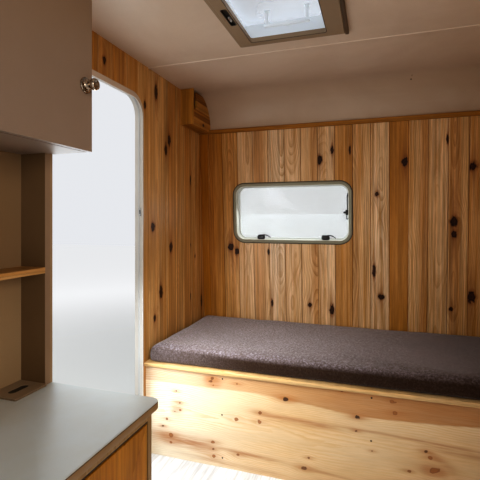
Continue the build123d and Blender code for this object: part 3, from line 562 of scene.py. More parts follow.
def skinMaterial(name, look):
    # A painted, moulded or laminated surface: faint cloudy shifts of colour, fine speckle, light orange peel.
    paint = Paint(name)
    ease = paint.ease
    cloud = paint.noise(paint.place, look.get("cloud", 2.5), 4, 0.55)
    grain = paint.noise(paint.place, look.get("grain", 900.0), 2, 0.6)
    colour = paint.blend(ease(cloud, 0.3, 0.7), look["colour"], look.get("other", look["colour"]))
    if look.get("scuff"):
        marks = paint.noise(paint.stretch(9, 9, 1.1), 1.0, 5, 0.6, 0.3)
        colour = paint.blend(ease(marks, 0.45, 0.8, 0.0, 0.2), colour, look["scuff"])
    colour = paint.shade(colour, ease(grain, 0.3, 0.7, 1 - look.get("speckle", 0.04), 1 + look.get("speckle", 0.04)))
    if look.get("edge"):
        # A colour band on the faces past a plane across one axis: a paler edge on some finishes, and painted shade
        # darker towards the top on the locker laminate and the niche lining.
        axis, start, end, edgeAndShadeColour = look["edge"]
        reach = paint.split(paint.place)[axis]
        colour = paint.blend(ease(reach, start, end), colour, edgeAndShadeColour)
    # painted light: the finish glows by itself
    if look.get("glow"):
        paint.finish({"Emission Color": look["colour"], "Emission Strength": look["glow"]})
    peel = paint.noise(paint.place, look.get("peel", 260.0), 2, 0.5)
    gloss = look.get("gloss", 0.4)
    sockets = {
        "Base Color": colour,
        "Roughness": ease(cloud, 0.25, 0.75, gloss - 0.04, gloss + 0.06),
        "Metallic": look.get("metal", 0.0),
        "Specular IOR Level": look.get("specular", 0.5),
        "Normal": paint.bump(peel, look.get("peelDepth", 0.0002), look.get("peelStrength", 0.25)),
    }
    if look.get("coat"):
        sockets.update({"Coat Weight": look["coat"], "Coat Roughness": look.get("coatGloss", 0.15)})
    return paint.finish(sockets)


finishes = {
    # the locker's laminate gets painted shade, darker towards the top
    "laminate": {"colour": (0.325, 0.245, 0.195), "other": (0.30, 0.222, 0.17), "gloss": 0.36, "peel": 700.0,
                 "speckle": 0.035,
                 "edge": (2, 1.34, 1.86, (0.235, 0.153, 0.093))},
    # the niche lining gets painted shade, darker towards the top under the shelf
    "nicheLining": {"colour": (0.41, 0.285, 0.165), "other": (0.38, 0.26, 0.145), "gloss": 0.4, "peel": 700.0,
                    "speckle": 0.04,
                    "edge": (2, 0.75, 1.15, (0.265, 0.17, 0.09))},
    "nicheLaminate": {"colour": (0.175, 0.108, 0.054), "other": (0.145, 0.09, 0.042), "gloss": 0.4, "peel": 700.0,
                      "speckle": 0.05, "edge": (0, -0.8835, -0.8825, (0.30, 0.205, 0.135))},
    "edgeStrip": {"colour": (0.38, 0.265, 0.16), "other": (0.335, 0.225, 0.118), "cloud": 8.0, "gloss": 0.45,
                  "speckle": 0.06},
    "windowFrame": {"colour": (0.26, 0.235, 0.16), "other": (0.23, 0.205, 0.135), "gloss": 0.42, "speckle": 0.03},
    # painted light: the frame's reveal is made paler where the outside light falls on it
    "litWindowReveal": {"colour": (0.66, 0.65, 0.56), "other": (0.6, 0.59, 0.5), "gloss": 0.4, "speckle": 0.03},
    "coverPlate": {"colour": (0.22, 0.155, 0.09), "other": (0.2, 0.135, 0.08), "gloss": 0.4, "speckle": 0.05,
                   "edge": (2, 0.6545, 0.6558, (0.34, 0.255, 0.17))},
    "hatchFrame": {"colour": (0.325, 0.235, 0.155), "other": (0.295, 0.21, 0.135), "gloss": 0.45, "peel": 800.0,
                   "speckle": 0.04,
                   "specular": 0.35},
    # dark brown for the bead round the opening and for the painted shadow strip
    "hatchBeadAndShadow": {"colour": (0.11, 0.07, 0.042), "other": (0.08, 0.05, 0.03), "gloss": 0.5, "speckle": 0.06},
    # the white hatch parts glow a little as painted light
    "hatchWhite": {"colour": (0.80, 0.85, 0.90), "other": (0.74, 0.79, 0.85), "gloss": 0.35, "speckle": 0.015,
                   "glow": 0.14},
    "worktopBand": {"colour": (0.285, 0.165, 0.062), "other": (0.255, 0.145, 0.052), "cloud": 14.0, "gloss": 0.42,
                    "speckle": 0.06},
    "worktopRim": {"colour": (0.10, 0.055, 0.022), "other": (0.085, 0.046, 0.018), "gloss": 0.45, "speckle": 0.06},
    "white": {"colour": (0.84, 0.84, 0.82), "other": (0.80, 0.80, 0.77), "gloss": 0.35, "speckle": 0.015},
    "bodySkin": {"colour": (0.74, 0.745, 0.72), "other": (0.67, 0.675, 0.64), "cloud": 1.6, "gloss": 0.33,
                 "peel": 95.0,
                 "peelDepth": 0.0012, "peelStrength": 0.55, "speckle": 0.01, "coat": 0.2,
                 "scuff": (0.50, 0.485, 0.43)},
    "rail": {"colour": (0.62, 0.63, 0.64), "other": (0.52, 0.53, 0.54), "metal": 1.0, "gloss": 0.34, "speckle": 0.05},
    "steel": {"colour": (0.52, 0.52, 0.53), "other": (0.44, 0.44, 0.45), "metal": 1.0, "gloss": 0.3, "speckle": 0.06},
    "knob": {"colour": (0.60, 0.52, 0.43), "other": (0.36, 0.29, 0.22), "metal": 1.0, "gloss": 0.14, "cloud": 60.0,
             "speckle": 0.03},
    "screw": {"colour": (0.03, 0.022, 0.016), "other": (0.06, 0.045, 0.03), "metal": 0.6, "gloss": 0.5,
              "speckle": 0.1},
    "black": {"colour": (0.016, 0.015, 0.014), "other": (0.024, 0.022, 0.02), "gloss": 0.4, "speckle": 0.1},
    "rubberGrey": {"colour": (0.60, 0.60, 0.60), "other": (0.55, 0.55, 0.55), "gloss": 0.6},
    "rubber": {"colour": (0.03, 0.03, 0.028), "other": (0.045, 0.044, 0.04), "gloss": 0.62, "speckle": 0.1},
}
materials = {name: skinMaterial(name, look) for name, look in finishes.items()}


def ceilingMaterial():
    # Satin lining paper: beige, with soft stains, faint streaks across the sheet, slow waves that catch the light,
    # and painted shade towards the end curve and the right.
    paint = Paint("ceilingLining")
    ease, blend = paint.ease, paint.blend
    stain = paint.noise(paint.place, 2.2, 5, 0.6, 0.6)
    streak = paint.noise(paint.stretch(2.5, 30, 30), 1.0, 4, 0.6)
    grain = paint.noise(paint.place, 700.0, 2, 0.6)
    colour = blend(ease(stain, 0.3, 0.7), (0.68, 0.555, 0.45), (0.62, 0.49, 0.385))
    colour = blend(ease(streak, 0.55, 0.8, 0.0, 0.2), colour, (0.74, 0.62, 0.50))
    x, y = paint.split(paint.place)[:2]
    colour = paint.shade(colour, ease(grain, 0.3, 0.7, 0.97, 1.03))
    # painted shade: darker and yellower into the curve over the end wall and towards the right, away from the doorway
    colour = blend(ease(y, 0.45, 0.85), colour, blend(1.0, colour, (0.75, 0.68, 0.61), "MULTIPLY"))
    colour = blend(ease(x, -0.1, 0.9), colour, blend(1.0, colour, (0.87, 0.80, 0.70), "MULTIPLY"))
    sideways, backways = paint.plus(x, -0.246), paint.times(paint.plus(y, -0.705), 0.32)
    scratch = paint.maths("SQRT", paint.both(sideways, sideways, paint.times(backways, backways)))
    colour = blend(ease(scratch, 0.0015, 0.0035, 0.6, 0.0), colour, (0.20, 0.12, 0.07))
    wave = paint.noise(paint.stretch(2.0, 7, 7), 1.0, 2, 0.5)
    normal = paint.bump(wave, 0.006, 0.4)
    normal = paint.bump(grain, 0.0002, 0.25, normal)
    return paint.finish({"Base Color": colour, "Roughness": ease(stain, 0.3, 0.7, 0.30, 0.42),
                         "Specular IOR Level": 0.45, "Normal": normal})


def worktopMaterial():
    # Grey laminate with fine light and dark specks and a slow mottling.
    paint = Paint("worktopLaminate")
    cloud = paint.noise(paint.place, 9.0, 5, 0.6)
    speck = paint.noise(paint.place, 420.0, 2, 0.7)
    dots = paint.node("TexVoronoi", {"Vector": paint.place, "Scale": 260.0}).outputs["Distance"]
    colour = paint.blend(paint.ease(cloud, 0.3, 0.7), (0.64, 0.68, 0.675), (0.62, 0.645, 0.615))
    colour = paint.blend(paint.ease(speck, 0.58, 0.72, 0.0, 0.18), colour, (0.50, 0.51, 0.47))
    colour = paint.blend(paint.ease(dots, 0.05, 0.2, 0.15, 0.0), colour, (0.84, 0.86, 0.82))
    return paint.finish({"Base Color": colour, "Roughness": paint.ease(speck, 0.3, 0.7, 0.29, 0.32),
                         "Specular IOR Level": 0.5, "Normal": paint.bump(speck, 0.0002, 0.3)})


def oakLaminateMaterial():
    # Brown printed laminate on the cabinet's frame: long fine pores and slow bands along each face.
    paint = Paint("frameLaminate")
    ease = paint.ease
    x, y, z = paint.split(paint.place)
    upright = paint.noise(paint.stretch(90, 90, 3), 1.0, 4, 0.65, 0.4)
    pores = paint.noise(paint.stretch(700, 700, 22), 1.0, 2, 0.6)
    colour = paint.blend(ease(upright, 0.3, 0.7), (0.37, 0.235, 0.105), (0.27, 0.16, 0.062))
    colour = paint.shade(colour, ease(pores, 0.3, 0.65, 0.82, 1.06))
    # painted shadow lines along the front rail: in the gap over the door and under the worktop's edge
    lines = paint.maths("MAXIMUM", ease(z, 0.6060, 0.6068, 1.0, 0.0), ease(z, 0.6256, 0.6264))
    front = paint.times(ease(x, -0.5185, -0.5180), paint.times(ease(y, -0.5535, -0.5530, 1.0, 0.0),
                                                               ease(z, 0.60, 0.602)))
    colour = paint.blend(paint.times(lines, front), colour, (0.02, 0.011, 0.006))
    return paint.finish({"Base Color": colour, "Roughness": 0.4, "Specular IOR Level": 0.4,
                         "Normal": paint.bump(pores, 0.0002, 0.3)})


def frameMaterial():
    # The doorway's moulded frame: white in its depth, with a grey-brown lip on the room's side and a faint painted
    # glow on its outer part.
    paint = Paint("doorwayFrame")
    ease = paint.ease
    x = paint.split(paint.place)[0]
    cloud = paint.noise(paint.place, 5.0, 4, 0.6)
    grain = paint.noise(paint.place, 900.0, 2, 0.6)
    colour = paint.blend(ease(cloud, 0.3, 0.7), (0.58, 0.545, 0.49), (0.54, 0.50, 0.45))
    colour = paint.blend(ease(x, -0.9765, -0.9755), colour, (0.54, 0.43, 0.345))
    colour = paint.shade(colour, ease(grain, 0.3, 0.7, 0.98, 1.02))
    # painted light: the frame's outer part glows faintly
    return paint.finish({"Base Color": colour, "Roughness": ease(cloud, 0.3, 0.7, 0.3, 0.4),
                         "Emission Color": (0.97, 0.98, 1.0),
                         "Emission Strength": ease(x, -0.9785, -0.9765, 0.08, 0.0),
                         "Normal": paint.bump(grain, 0.0002, 0.2)})


def sandwichMaterial():
    # The sawn body wall: small foam cells under a coarse cloud, and pine battens with growth rings where the floor,
    # walls and roof meet.
    paint = Paint("sandwichCore")
    ease = paint.ease
    x, y, z = paint.split(paint.place)
    cells = paint.node("TexVoronoi", {"Vector": paint.place, "Scale": 420.0}).outputs["Distance"]
    cloud = paint.noise(paint.place, 14.0, 4, 0.6)
    colour = paint.blend(ease(cells, 0.1, 0.8), (0.84, 0.78, 0.58), (0.62, 0.54, 0.36))
    colour = paint.blend(ease(cloud, 0.3, 0.7, 0.0, 0.4), colour, (0.72, 0.66, 0.48))
    rings = paint.noise(paint.stretch(120, 3, 120), 1.0, 3, 0.6, 0.8)
    batten = paint.blend(ease(rings, 0.35, 0.65), (0.58, 0.36, 0.15), (0.42, 0.22, 0.08))
    wide = paint.maths("ABSOLUTE", x)
    corner = ease(wide, 0.962, 0.963)
    low = ease(z, 0.075, 0.076, 1.0, 0.0)
    high = ease(z, 1.84, 1.841)
    mask = paint.maths("MAXIMUM", paint.times(corner, paint.maths("MAXIMUM", low, high)),
                       ease(paint.maths("PINGPONG", paint.plus(wide, 0.03), 0.32), 0.025, 0.026, 1.0, 0.0))
    mask = paint.times(mask, ease(y, -0.90, -0.899, 1.0, 0.0))
    colour = paint.blend(mask, colour, batten)
    return paint.finish({"Base Color": colour, "Roughness": 0.88, "Normal": paint.bump(cells, 0.0008, 0.6)})


def clearMaterial(name, tint, gloss, hazeLow, hazeHigh):
    # Clear acrylic that lets most light straight through, with a faint haze of fine scratches.
    paint = Paint(name)
    haze = paint.noise(paint.stretch(3, 3, 2), 1.0, 2, 0.5)
    return paint.finish({
        "Base Color": tint, "Roughness": paint.ease(haze, 0.3, 0.7, gloss, gloss + 0.1),
        "Alpha": paint.ease(haze, 0.3, 0.8, hazeLow, hazeHigh), "Specular IOR Level": 0.5, "IOR": 1.49,
    })


def plankMaterial():
    # Pale plank floor: each plank has its own tone, long grey streaks and fine pores along it.
    paint = Paint("paleFloor")
    times = paint.times
    x, y = paint.split(paint.place)[:2]
    board = paint.maths("FLOOR", paint.maths("DIVIDE", paint.plus(x, 0.975), 0.19))
    tone = paint.dice(board)[0]
    far = times(board, 3.3)
    streak = paint.noise(paint.vector(times(x, 60), far, times(y, 3)), 1.0, 5, 0.65, 0.6)
    pores = paint.noise(paint.vector(times(x, 420), far, times(y, 16)), 1.0, 3, 0.6)
    colour = paint.blend(paint.ease(streak, 0.32, 0.68), (0.76, 0.76, 0.77), (0.56, 0.55, 0.54))
    colour = paint.shade(colour, times(paint.ease(tone, 0.0, 1.0, 0.9, 1.06),
                                       paint.ease(pores, 0.3, 0.6, 0.86, 1.03)))
    return paint.finish({"Base Color": colour, "Roughness": paint.ease(pores, 0.3, 0.7, 0.42, 0.55),
                         "Normal": paint.bump(pores, 0.0003, 0.4)})


core, clear = sandwichMaterial(), clearMaterial("clearAcrylic", (0.72, 0.78, 0.76), 0.05, 0.16, 0.26)
lidClear = clearMaterial("lidAcrylic", (0.84, 0.91, 1.0), 0.12, 0.26, 0.36)
milky = clearMaterial("milkyAcrylic", (0.86, 0.88, 0.84), 0.2, 0.7, 0.85)
ceilingPaint, worktopPaint, oakPaint, framePaint, floorPaint = (
    ceilingMaterial(), worktopMaterial(), oakLaminateMaterial(), frameMaterial(), plankMaterial())
nodeFinishes = {
    core: ["floor_core", "door_wall_core", "off_wall_core", "end_wall_core", "roof_core"],
    floorPaint: ["floor_planks"],
    materials["bodySkin"]: ["door_wall_skin", "off_wall_skin", "end_wall_skin", "roof_skin", "door_leaf",
                            "door_plate"],
    ceilingPaint: ["ceiling_panel", "ceiling_end_panel", "ceiling_joint_strip"],
    materials["rail"]: ["edge_rails", "roof_end_moulding", "window_hinge_rail"],
    materials["laminate"]: ["locker_carcass", "locker_door"],
    materials["nicheLining"]: ["galley_wall_lining"],
    oakPaint: ["galley_carcass"],
    materials["nicheLaminate"]: ["niche_ends"],
    materials["edgeStrip"]: ["niche_cladding"],
    materials["coverPlate"]: ["niche_cover"],
    materials["rubber"]: ["window_seal"],
    materials["hatchFrame"]: ["hatch_inner_frame"],
    materials["hatchWhite"]: ["hatch_collar", "hatch_hinge_arms", "hatch_hinge_feet"],
    framePaint: ["door_frame"],
    materials["black"]: ["door_handles"],
    materials["steel"]: ["door_hinge_feet", "door_hinge_straps", "cabinet_hinge_feet", "galley_hinge_leaves",
                         "locker_hinge_leaves"],
}
for material, names in nodeFinishes.items():
    for name in names:
        paintNode(name, material)
print("stage: finishes painted")


benchFront = {
    "box": (-0.975, 0.975, 0.1985, 0.2165, 0.030, 0.454),
    "columns": 326, "rows": 99,
    # knots: place along and up, radius, darkness
    "knots": [
        (-0.293, 0.385, 0.0110, 1.0), (0.000, 0.352, 0.0085, 0.95), (-0.004, 0.295, 0.0050, 0.75),
        (0.058, 0.224, 0.0045, 0.6),
        (0.144, 0.389, 0.0090, 0.55), (0.133, 0.433, 0.0100, 0.45), (0.284, 0.190, 0.0150, 0.55),
        (0.270, 0.236, 0.0075, 0.5),
        (0.256, 0.256, 0.0060, 0.8), (0.195, 0.170, 0.0060, 0.6), (-0.216, 0.104, 0.0100, 0.75),
        (-0.195, 0.151, 0.0050, 0.7),
        (-0.509, 0.108, 0.0090, 0.6), (-0.628, 0.145, 0.0080, 0.5), (-0.628, 0.113, 0.0060, 0.7),
        (-0.624, 0.082, 0.0090, 0.5),
        (-0.840, 0.142, 0.0110, 0.5), (-0.840, 0.108, 0.0080, 0.35), (-0.882, 0.178, 0.0050, 0.8),
        (-0.861, 0.214, 0.0060, 0.45),
        (-0.822, 0.256, 0.0050, 0.45), (-0.794, 0.266, 0.0060, 0.4), (-0.794, 0.299, 0.0060, 0.6),
        (-0.814, 0.352, 0.0050, 0.7),
        (-0.633, 0.434, 0.0080, 0.7), (-0.637, 0.418, 0.0070, 0.7), (-0.628, 0.402, 0.0050, 0.5),
        (-0.514, 0.422, 0.0055, 0.65),
        (-0.408, 0.309, 0.0085, 0.65), (-0.410, 0.270, 0.0090, 0.5), (-0.518, 0.266, 0.0100, 0.25),
        (-0.060, 0.449, 0.0050, 0.6),
        (0.550, 0.330, 0.0100, 0.7), (0.720, 0.140, 0.0120, 0.6), (0.850, 0.380, 0.0090, 0.8),
        (0.620, 0.240, 0.0060, 0.5),
        (0.900, 0.200, 0.0080, 0.6),
    ],
    # lower edge of the darker upper board
    "edge": [(-0.975, 0.386), (-0.692, 0.388), (-0.444, 0.391), (-0.319, 0.384), (-0.182, 0.373), (-0.068, 0.360),
             (0.088, 0.356), (0.305, 0.366), (0.440, 0.377), (0.975, 0.392)],
    # stains: middle along and up, half length, half width, slope, strength
    "stains": [
        (-0.78, 0.125, 0.170, 0.032, -0.05, 0.75), (-0.46, 0.116, 0.170, 0.009, -0.04, 0.7),
        (-0.12, 0.100, 0.100, 0.006, -0.05, 0.6),
        (-0.25, 0.297, 0.170, 0.014, -0.02, 0.75), (0.02, 0.302, 0.150, 0.006, -0.03, 0.55),
        (0.26, 0.293, 0.230, 0.005, -0.04, 0.6),
        (0.37, 0.272, 0.130, 0.016, -0.05, 0.5), (0.31, 0.225, 0.050, 0.018, -0.50, 0.5),
        (0.285, 0.186, 0.045, 0.034, 0.0, 0.45),
        (-0.63, 0.418, 0.040, 0.030, 0.0, 0.5), (0.70, 0.150, 0.200, 0.020, 0.03, 0.5),
        (0.60, 0.330, 0.150, 0.012, 0.02, 0.5),
        (-0.81, 0.275, 0.030, 0.040, 0.0, 0.35), (-0.55, 0.060, 0.250, 0.010, -0.02, 0.45),
    ],
}


def benchFields(x, z):
    # Height of the grain line through each point: the point's own height plus slow waves, less a share of its height
    # over each knot that fades with a bell curve. Rings are its distance from a pith that dips along the board.
    line = z + 0.016 * np.sin(2.3 * x + 0.6) + 0.008 * np.sin(6.1 * x + 2.0 + 3 * z) + 0.005 * swell(x, z * 3, 5, 0.5)
    wobble = 1 + 0.22 * swell(x, z, 8, 0.03) + 0.10 * swell(x, z, 9, 0.012)
    near, dark, halo = np.full_like(x, 9.0), np.zeros_like(x), np.zeros_like(x)
    for knotX, knotZ, radius, depth in benchFront["knots"]:
        along, up = x - knotX, z - knotZ
        line = line - up * 0.9 * np.exp(-(along / (4.2 * radius)) ** 2 - (up / (2.8 * radius)) ** 2)
        reach = np.sqrt((along / 1.25) ** 2 + up ** 2) / (0.82 * radius) * wobble
        dark = np.where(reach < near, depth, dark)
        near = np.minimum(near, reach)
        halo = np.maximum(halo, depth * np.exp(-(along / (5.0 * radius)) ** 2 - (up / (1.5 * radius)) ** 2))
    edge = np.interp(x, *np.array(benchFront["edge"]).T)
    upper = np.clip((z - edge) / 0.003 + 0.5, 0, 1)
    rings = np.sqrt((line - 0.232) ** 2 + (0.028 + 0.02 * np.sin(1.7 * x + 1.0)) ** 2) / 0.0085
    upperRings = 40 + np.sqrt((line - 0.52) ** 2 + 0.02 ** 2) / 0.0075
    stain = np.zeros_like(x)
    for middleX, middleZ, long, wide, slope, strength in benchFront["stains"]:
        along, up = x - middleX, z - middleZ - slope * (x - middleX)
        stain = np.maximum(stain, strength * np.exp(-(np.abs(along) / long) ** 4 - (up / wide) ** 2))
    heart = upper * (0.45 + 0.5 * np.clip((x + 0.8) / 1.1, 0, 1))
    return {"benchRings": (np.where(upper > 0.5, upperRings, rings), near, dark), "benchTint": (heart, stain, halo)}


def benchMaterial():
    # Cream pine with orange late wood, darker heartwood, brown stains that follow the grain and ringed knots, with
    # painted light on the left end and a painted shadow line along the top.
    paint = Paint("benchPine")
    times, ease, blend, noise, stretch = paint.times, paint.ease, paint.blend, paint.noise, paint.stretch
    rings, near, dark = paint.attribute("benchRings")
    heart, stain, halo = paint.attribute("benchTint")
    x, z = paint.split(paint.place)[::2]
    drift = noise(stretch(7, 7, 45), 1.0, 4, 0.6)
    fibre = noise(stretch(14, 60, 520), 1.0, 3, 0.62)
    cloud = noise(stretch(2.2, 6, 7), 1.0, 3, 0.55)
    smear = noise(stretch(5, 40, 60), 1.0, 3, 0.6)
    turn = paint.maths("FRACT", paint.both(drift, 1.6, rings))
    late = times(ease(turn, 0.3, 0.95), ease(turn, 0.96, 1.0, 1.0, 0.0))
    patch = noise(stretch(2.5, 6, 13), 1.0, 3, 0.55)
    late = times(late, ease(patch, 0.35, 0.65, 0.18, 0.85))
    wood = blend(ease(cloud, 0.3, 0.7), (0.74, 0.55, 0.34), (0.67, 0.46, 0.25))
    # painted light: the left end paler and cooler, where the doorway's light falls
    wood = blend(ease(x, -0.95, -0.25, 0.8, 0.0), wood, (0.88, 0.80, 0.64))
    wood = blend(times(heart, ease(smear, 0.2, 0.7, 0.8, 1.0)), wood, (0.44, 0.20, 0.065))
    wood = blend(times(late, 0.62), wood, blend(heart, (0.60, 0.36, 0.14), (0.42, 0.19, 0.06)))
    wood = blend(paint.maths("MINIMUM", times(stain, ease(smear, 0.32, 0.6, 0.45, 1.2)), 1.0), wood,
                 (0.42, 0.18, 0.065))
    wood = blend(times(halo, 0.85), wood, (0.41, 0.16, 0.04))
    core = blend(ease(dark, 0.5, 0.95), (0.33, 0.12, 0.03), (0.03, 0.010, 0.005))
    rim = blend(ease(near, 0.5, 0.95), core, blend(ease(dark, 0.4, 1.0), (0.26, 0.09, 0.025), (0.014, 0.006, 0.004)))
    wood = blend(ease(near, 0.8, 1.15, 0.9, 0.0), wood, rim)
    wood = paint.shade(wood, times(ease(fibre, 0.3, 0.7, 0.93, 1.05), ease(patch, 0.3, 0.7, 0.94, 1.04)))
    # painted shadow: a dark line along the panel's top, under the bench top's edge
    wood = blend(ease(z, 0.4488, 0.4505, 0.0, 0.7), wood, (0.13, 0.055, 0.02))
    height = paint.both(late, 0.3, times(fibre, 0.4))
    return paint.finish({"Base Color": wood, "Roughness": ease(fibre, 0.3, 0.7, 0.36, 0.46),
                         "Specular IOR Level": 0.35, "Coat Weight": 0.25, "Coat Roughness": 0.28,
                         "Normal": paint.bump(height, 0.0003, 0.45)})


def makeBenchFront(look):
    # A slab drawn along X: its front is a fine grid that carries the figure, its back one strip.
    left, right, front, back, low, high = look["box"]
    columns, rows = look["columns"], look["rows"]
    up = np.linspace(low, high, rows)
    section = np.concatenate([np.stack([np.full(rows, front), up], 1), [[back, high], [back, low]]])
    along = np.linspace(left, right, columns)
    rings = np.zeros((columns, rows + 2, 3))
    rings[:, :, 0] = along[:, None]
    rings[:, :, 1:] = section[None]
    points, faces, rowOf = loft(rings, firstCap=False, lastCap=False)
    middle = rows // 2
    for start in (0, (columns - 1) * (rows + 2)):
        lower = [[start + rows + 1, start + k, start + k + 1] for k in range(middle)]
        upper = [[start + rows, start + k, start + k + 1] for k in range(middle, rows - 1)]
        faces += lower + upper + [[start + rows + 1, start + middle, start + rows]]
    piece = addPiece("benchPanel", points, faces, shown(benchMaterial(), "pine_board", "bench_front"))
    places = np.empty(len(piece.data.vertices) * 3)
    piece.data.vertices.foreach_get("co", places)
    x, y, z = places.reshape(-1, 3).T
    for key, values in benchFields(x, z).items():
        attribute = piece.data.attributes.new(key, "FLOAT_VECTOR", "POINT")
        attribute.data.foreach_set("vector", np.stack(values, 1).astype(np.float32).ravel())


makeBenchFront(benchFront)
benchScrews = [(-0.583, 0.436), (-0.585, 0.274), (-0.583, 0.081), (0.056, 0.437), (0.054, 0.264), (0.056, 0.081),
               (0.70, 0.436), (0.70, 0.264), (0.70, 0.081)]
screwHead = [(0, -0.0004), (0.0012, -0.0004), (0.0022, -0.0007), (0.0034, -0.0005), (0.0038, 0.0), (0.0038, 0.0012),
             (0, 0.0012)]
heads = [lathe((x, 0.1985, z), "y", screwHead, 14) for x, z in benchScrews]
addParts("benchScrews", heads, shown(materials["screw"], "hinge_steel"))
print("stage: bench front made")


def woolMaterial(name, look):
    # Melange wool: crossing fine fibres of two tones, paler lint and slow changes from wear. The lint is stronger on
    # the top as painted light, and painted light makes the top towards the left and the left end paler and bluer.
    paint = Paint(name)
    ease, blend = paint.ease, paint.blend
    fibre = paint.noise(paint.stretch(520, 520, 520), 1.0, 3, 0.7, 1.2)
    mottle = paint.noise(paint.stretch(110, 110, 110), 1.0, 4, 0.8, 0.5)
    speck = paint.noise(paint.stretch(260, 260, 260), 1.0, 2, 0.6)
    cloud = paint.noise(paint.place, 3.0, 4, 0.55)
    colour = blend(ease(fibre, 0.35, 0.65), look["dark"], look["light"])
    x, z = paint.split(paint.place)[::2]
    top = ease(z, 0.522, 0.546)
    # paler lint mottling, raised on the top partly as painted light
    colour = blend(paint.times(ease(mottle, 0.45, 0.62), paint.both(top, 0.45, 0.35)), colour, look["lintAndPaintedLight"])
    colour = blend(ease(speck, 0.62, 0.72, 0.0, 0.5), colour, look["night"])
    # painted light: the top paler and bluer towards the left, and the left end too, where the doorway's and window's
    # light falls
    light = paint.maths("MAXIMUM", paint.times(top, ease(x, -0.4, 0.75, 1.0, 0.08)), ease(x, -0.93, -0.45, 0.7, 0.0))
    colour = blend(light, colour, blend(1.0, colour, (4.0, 5.7, 9.2), "MULTIPLY"))
    colour = paint.shade(colour, ease(cloud, 0.3, 0.7, 0.9, 1.07))
    return paint.finish({
        "Base Color": colour, "Roughness": 0.95, "Specular IOR Level": 0.15, "Sheen Weight": 0.55,
        "Sheen Roughness": 0.4,
        "Sheen Tint": (0.75, 0.66, 0.63, 1), "Normal": paint.bump(paint.plus(fibre, mottle), 0.0016, 0.9),
    })


cushionLook = {
    "box": (-0.970, 0.970, 0.1905, 0.8985), "corner": 0.025, "low": 0.4735, "high": 0.5465, "edge": 0.030,
    "voxel": 0.012, "frames": 20, "cap": 0.010, "fill": 0.72,
    "cloth": {"quality": 4, "mass": 0.3, "tension_stiffness": 20, "compression_stiffness": 20, "shear_stiffness": 8,
              "bending_stiffness": 1.5, "use_pressure": True, "uniform_pressure_force": 4.0},
    # the room that the mattress may fill: half its length, its front, its underside and its top
    "room": (0.9738, 0.1852, 0.4724, 0.5560),
    "dents": [(-0.52, 0.46, 0.055, 0.0035), (-0.38, 0.35, 0.035, 0.003), (0.15, 0.52, 0.09, 0.003),
              (0.62, 0.40, 0.10, 0.004),
              (-0.70, 0.62, 0.08, 0.003), (-0.05, 0.30, 0.06, 0.0025)],
    "wool": {"dark": (0.020, 0.0095, 0.005), "light": (0.052, 0.028, 0.016), "lintAndPaintedLight": (0.095, 0.058, 0.040),
             "night": (0.012, 0.007, 0.005)},
}


def cushionStart(look):
    # A rounded box: the outline shrinks by edge times (1 - cosine) as the height climbs by edge times the sine.
    edge, low, high = look["edge"], look["low"], look["high"]
    lowEdge = edge * 0.55
    turn = np.linspace(0, np.pi / 2, 7)
    under = [(-lowEdge * (1 - math.sin(t)), low + lowEdge * (1 - math.cos(t))) for t in turn]
    over = [(-edge * (1 - math.cos(t)), high - edge + edge * math.sin(t)) for t in turn]
    return loft(ringsOn(look["box"], look["corner"], under + over, "xyz", 10))


def meshPoints(mesh):
    places = np.empty(len(mesh.vertices) * 3)
    mesh.vertices.foreach_get("co", places)
    return places.reshape(-1, 3)


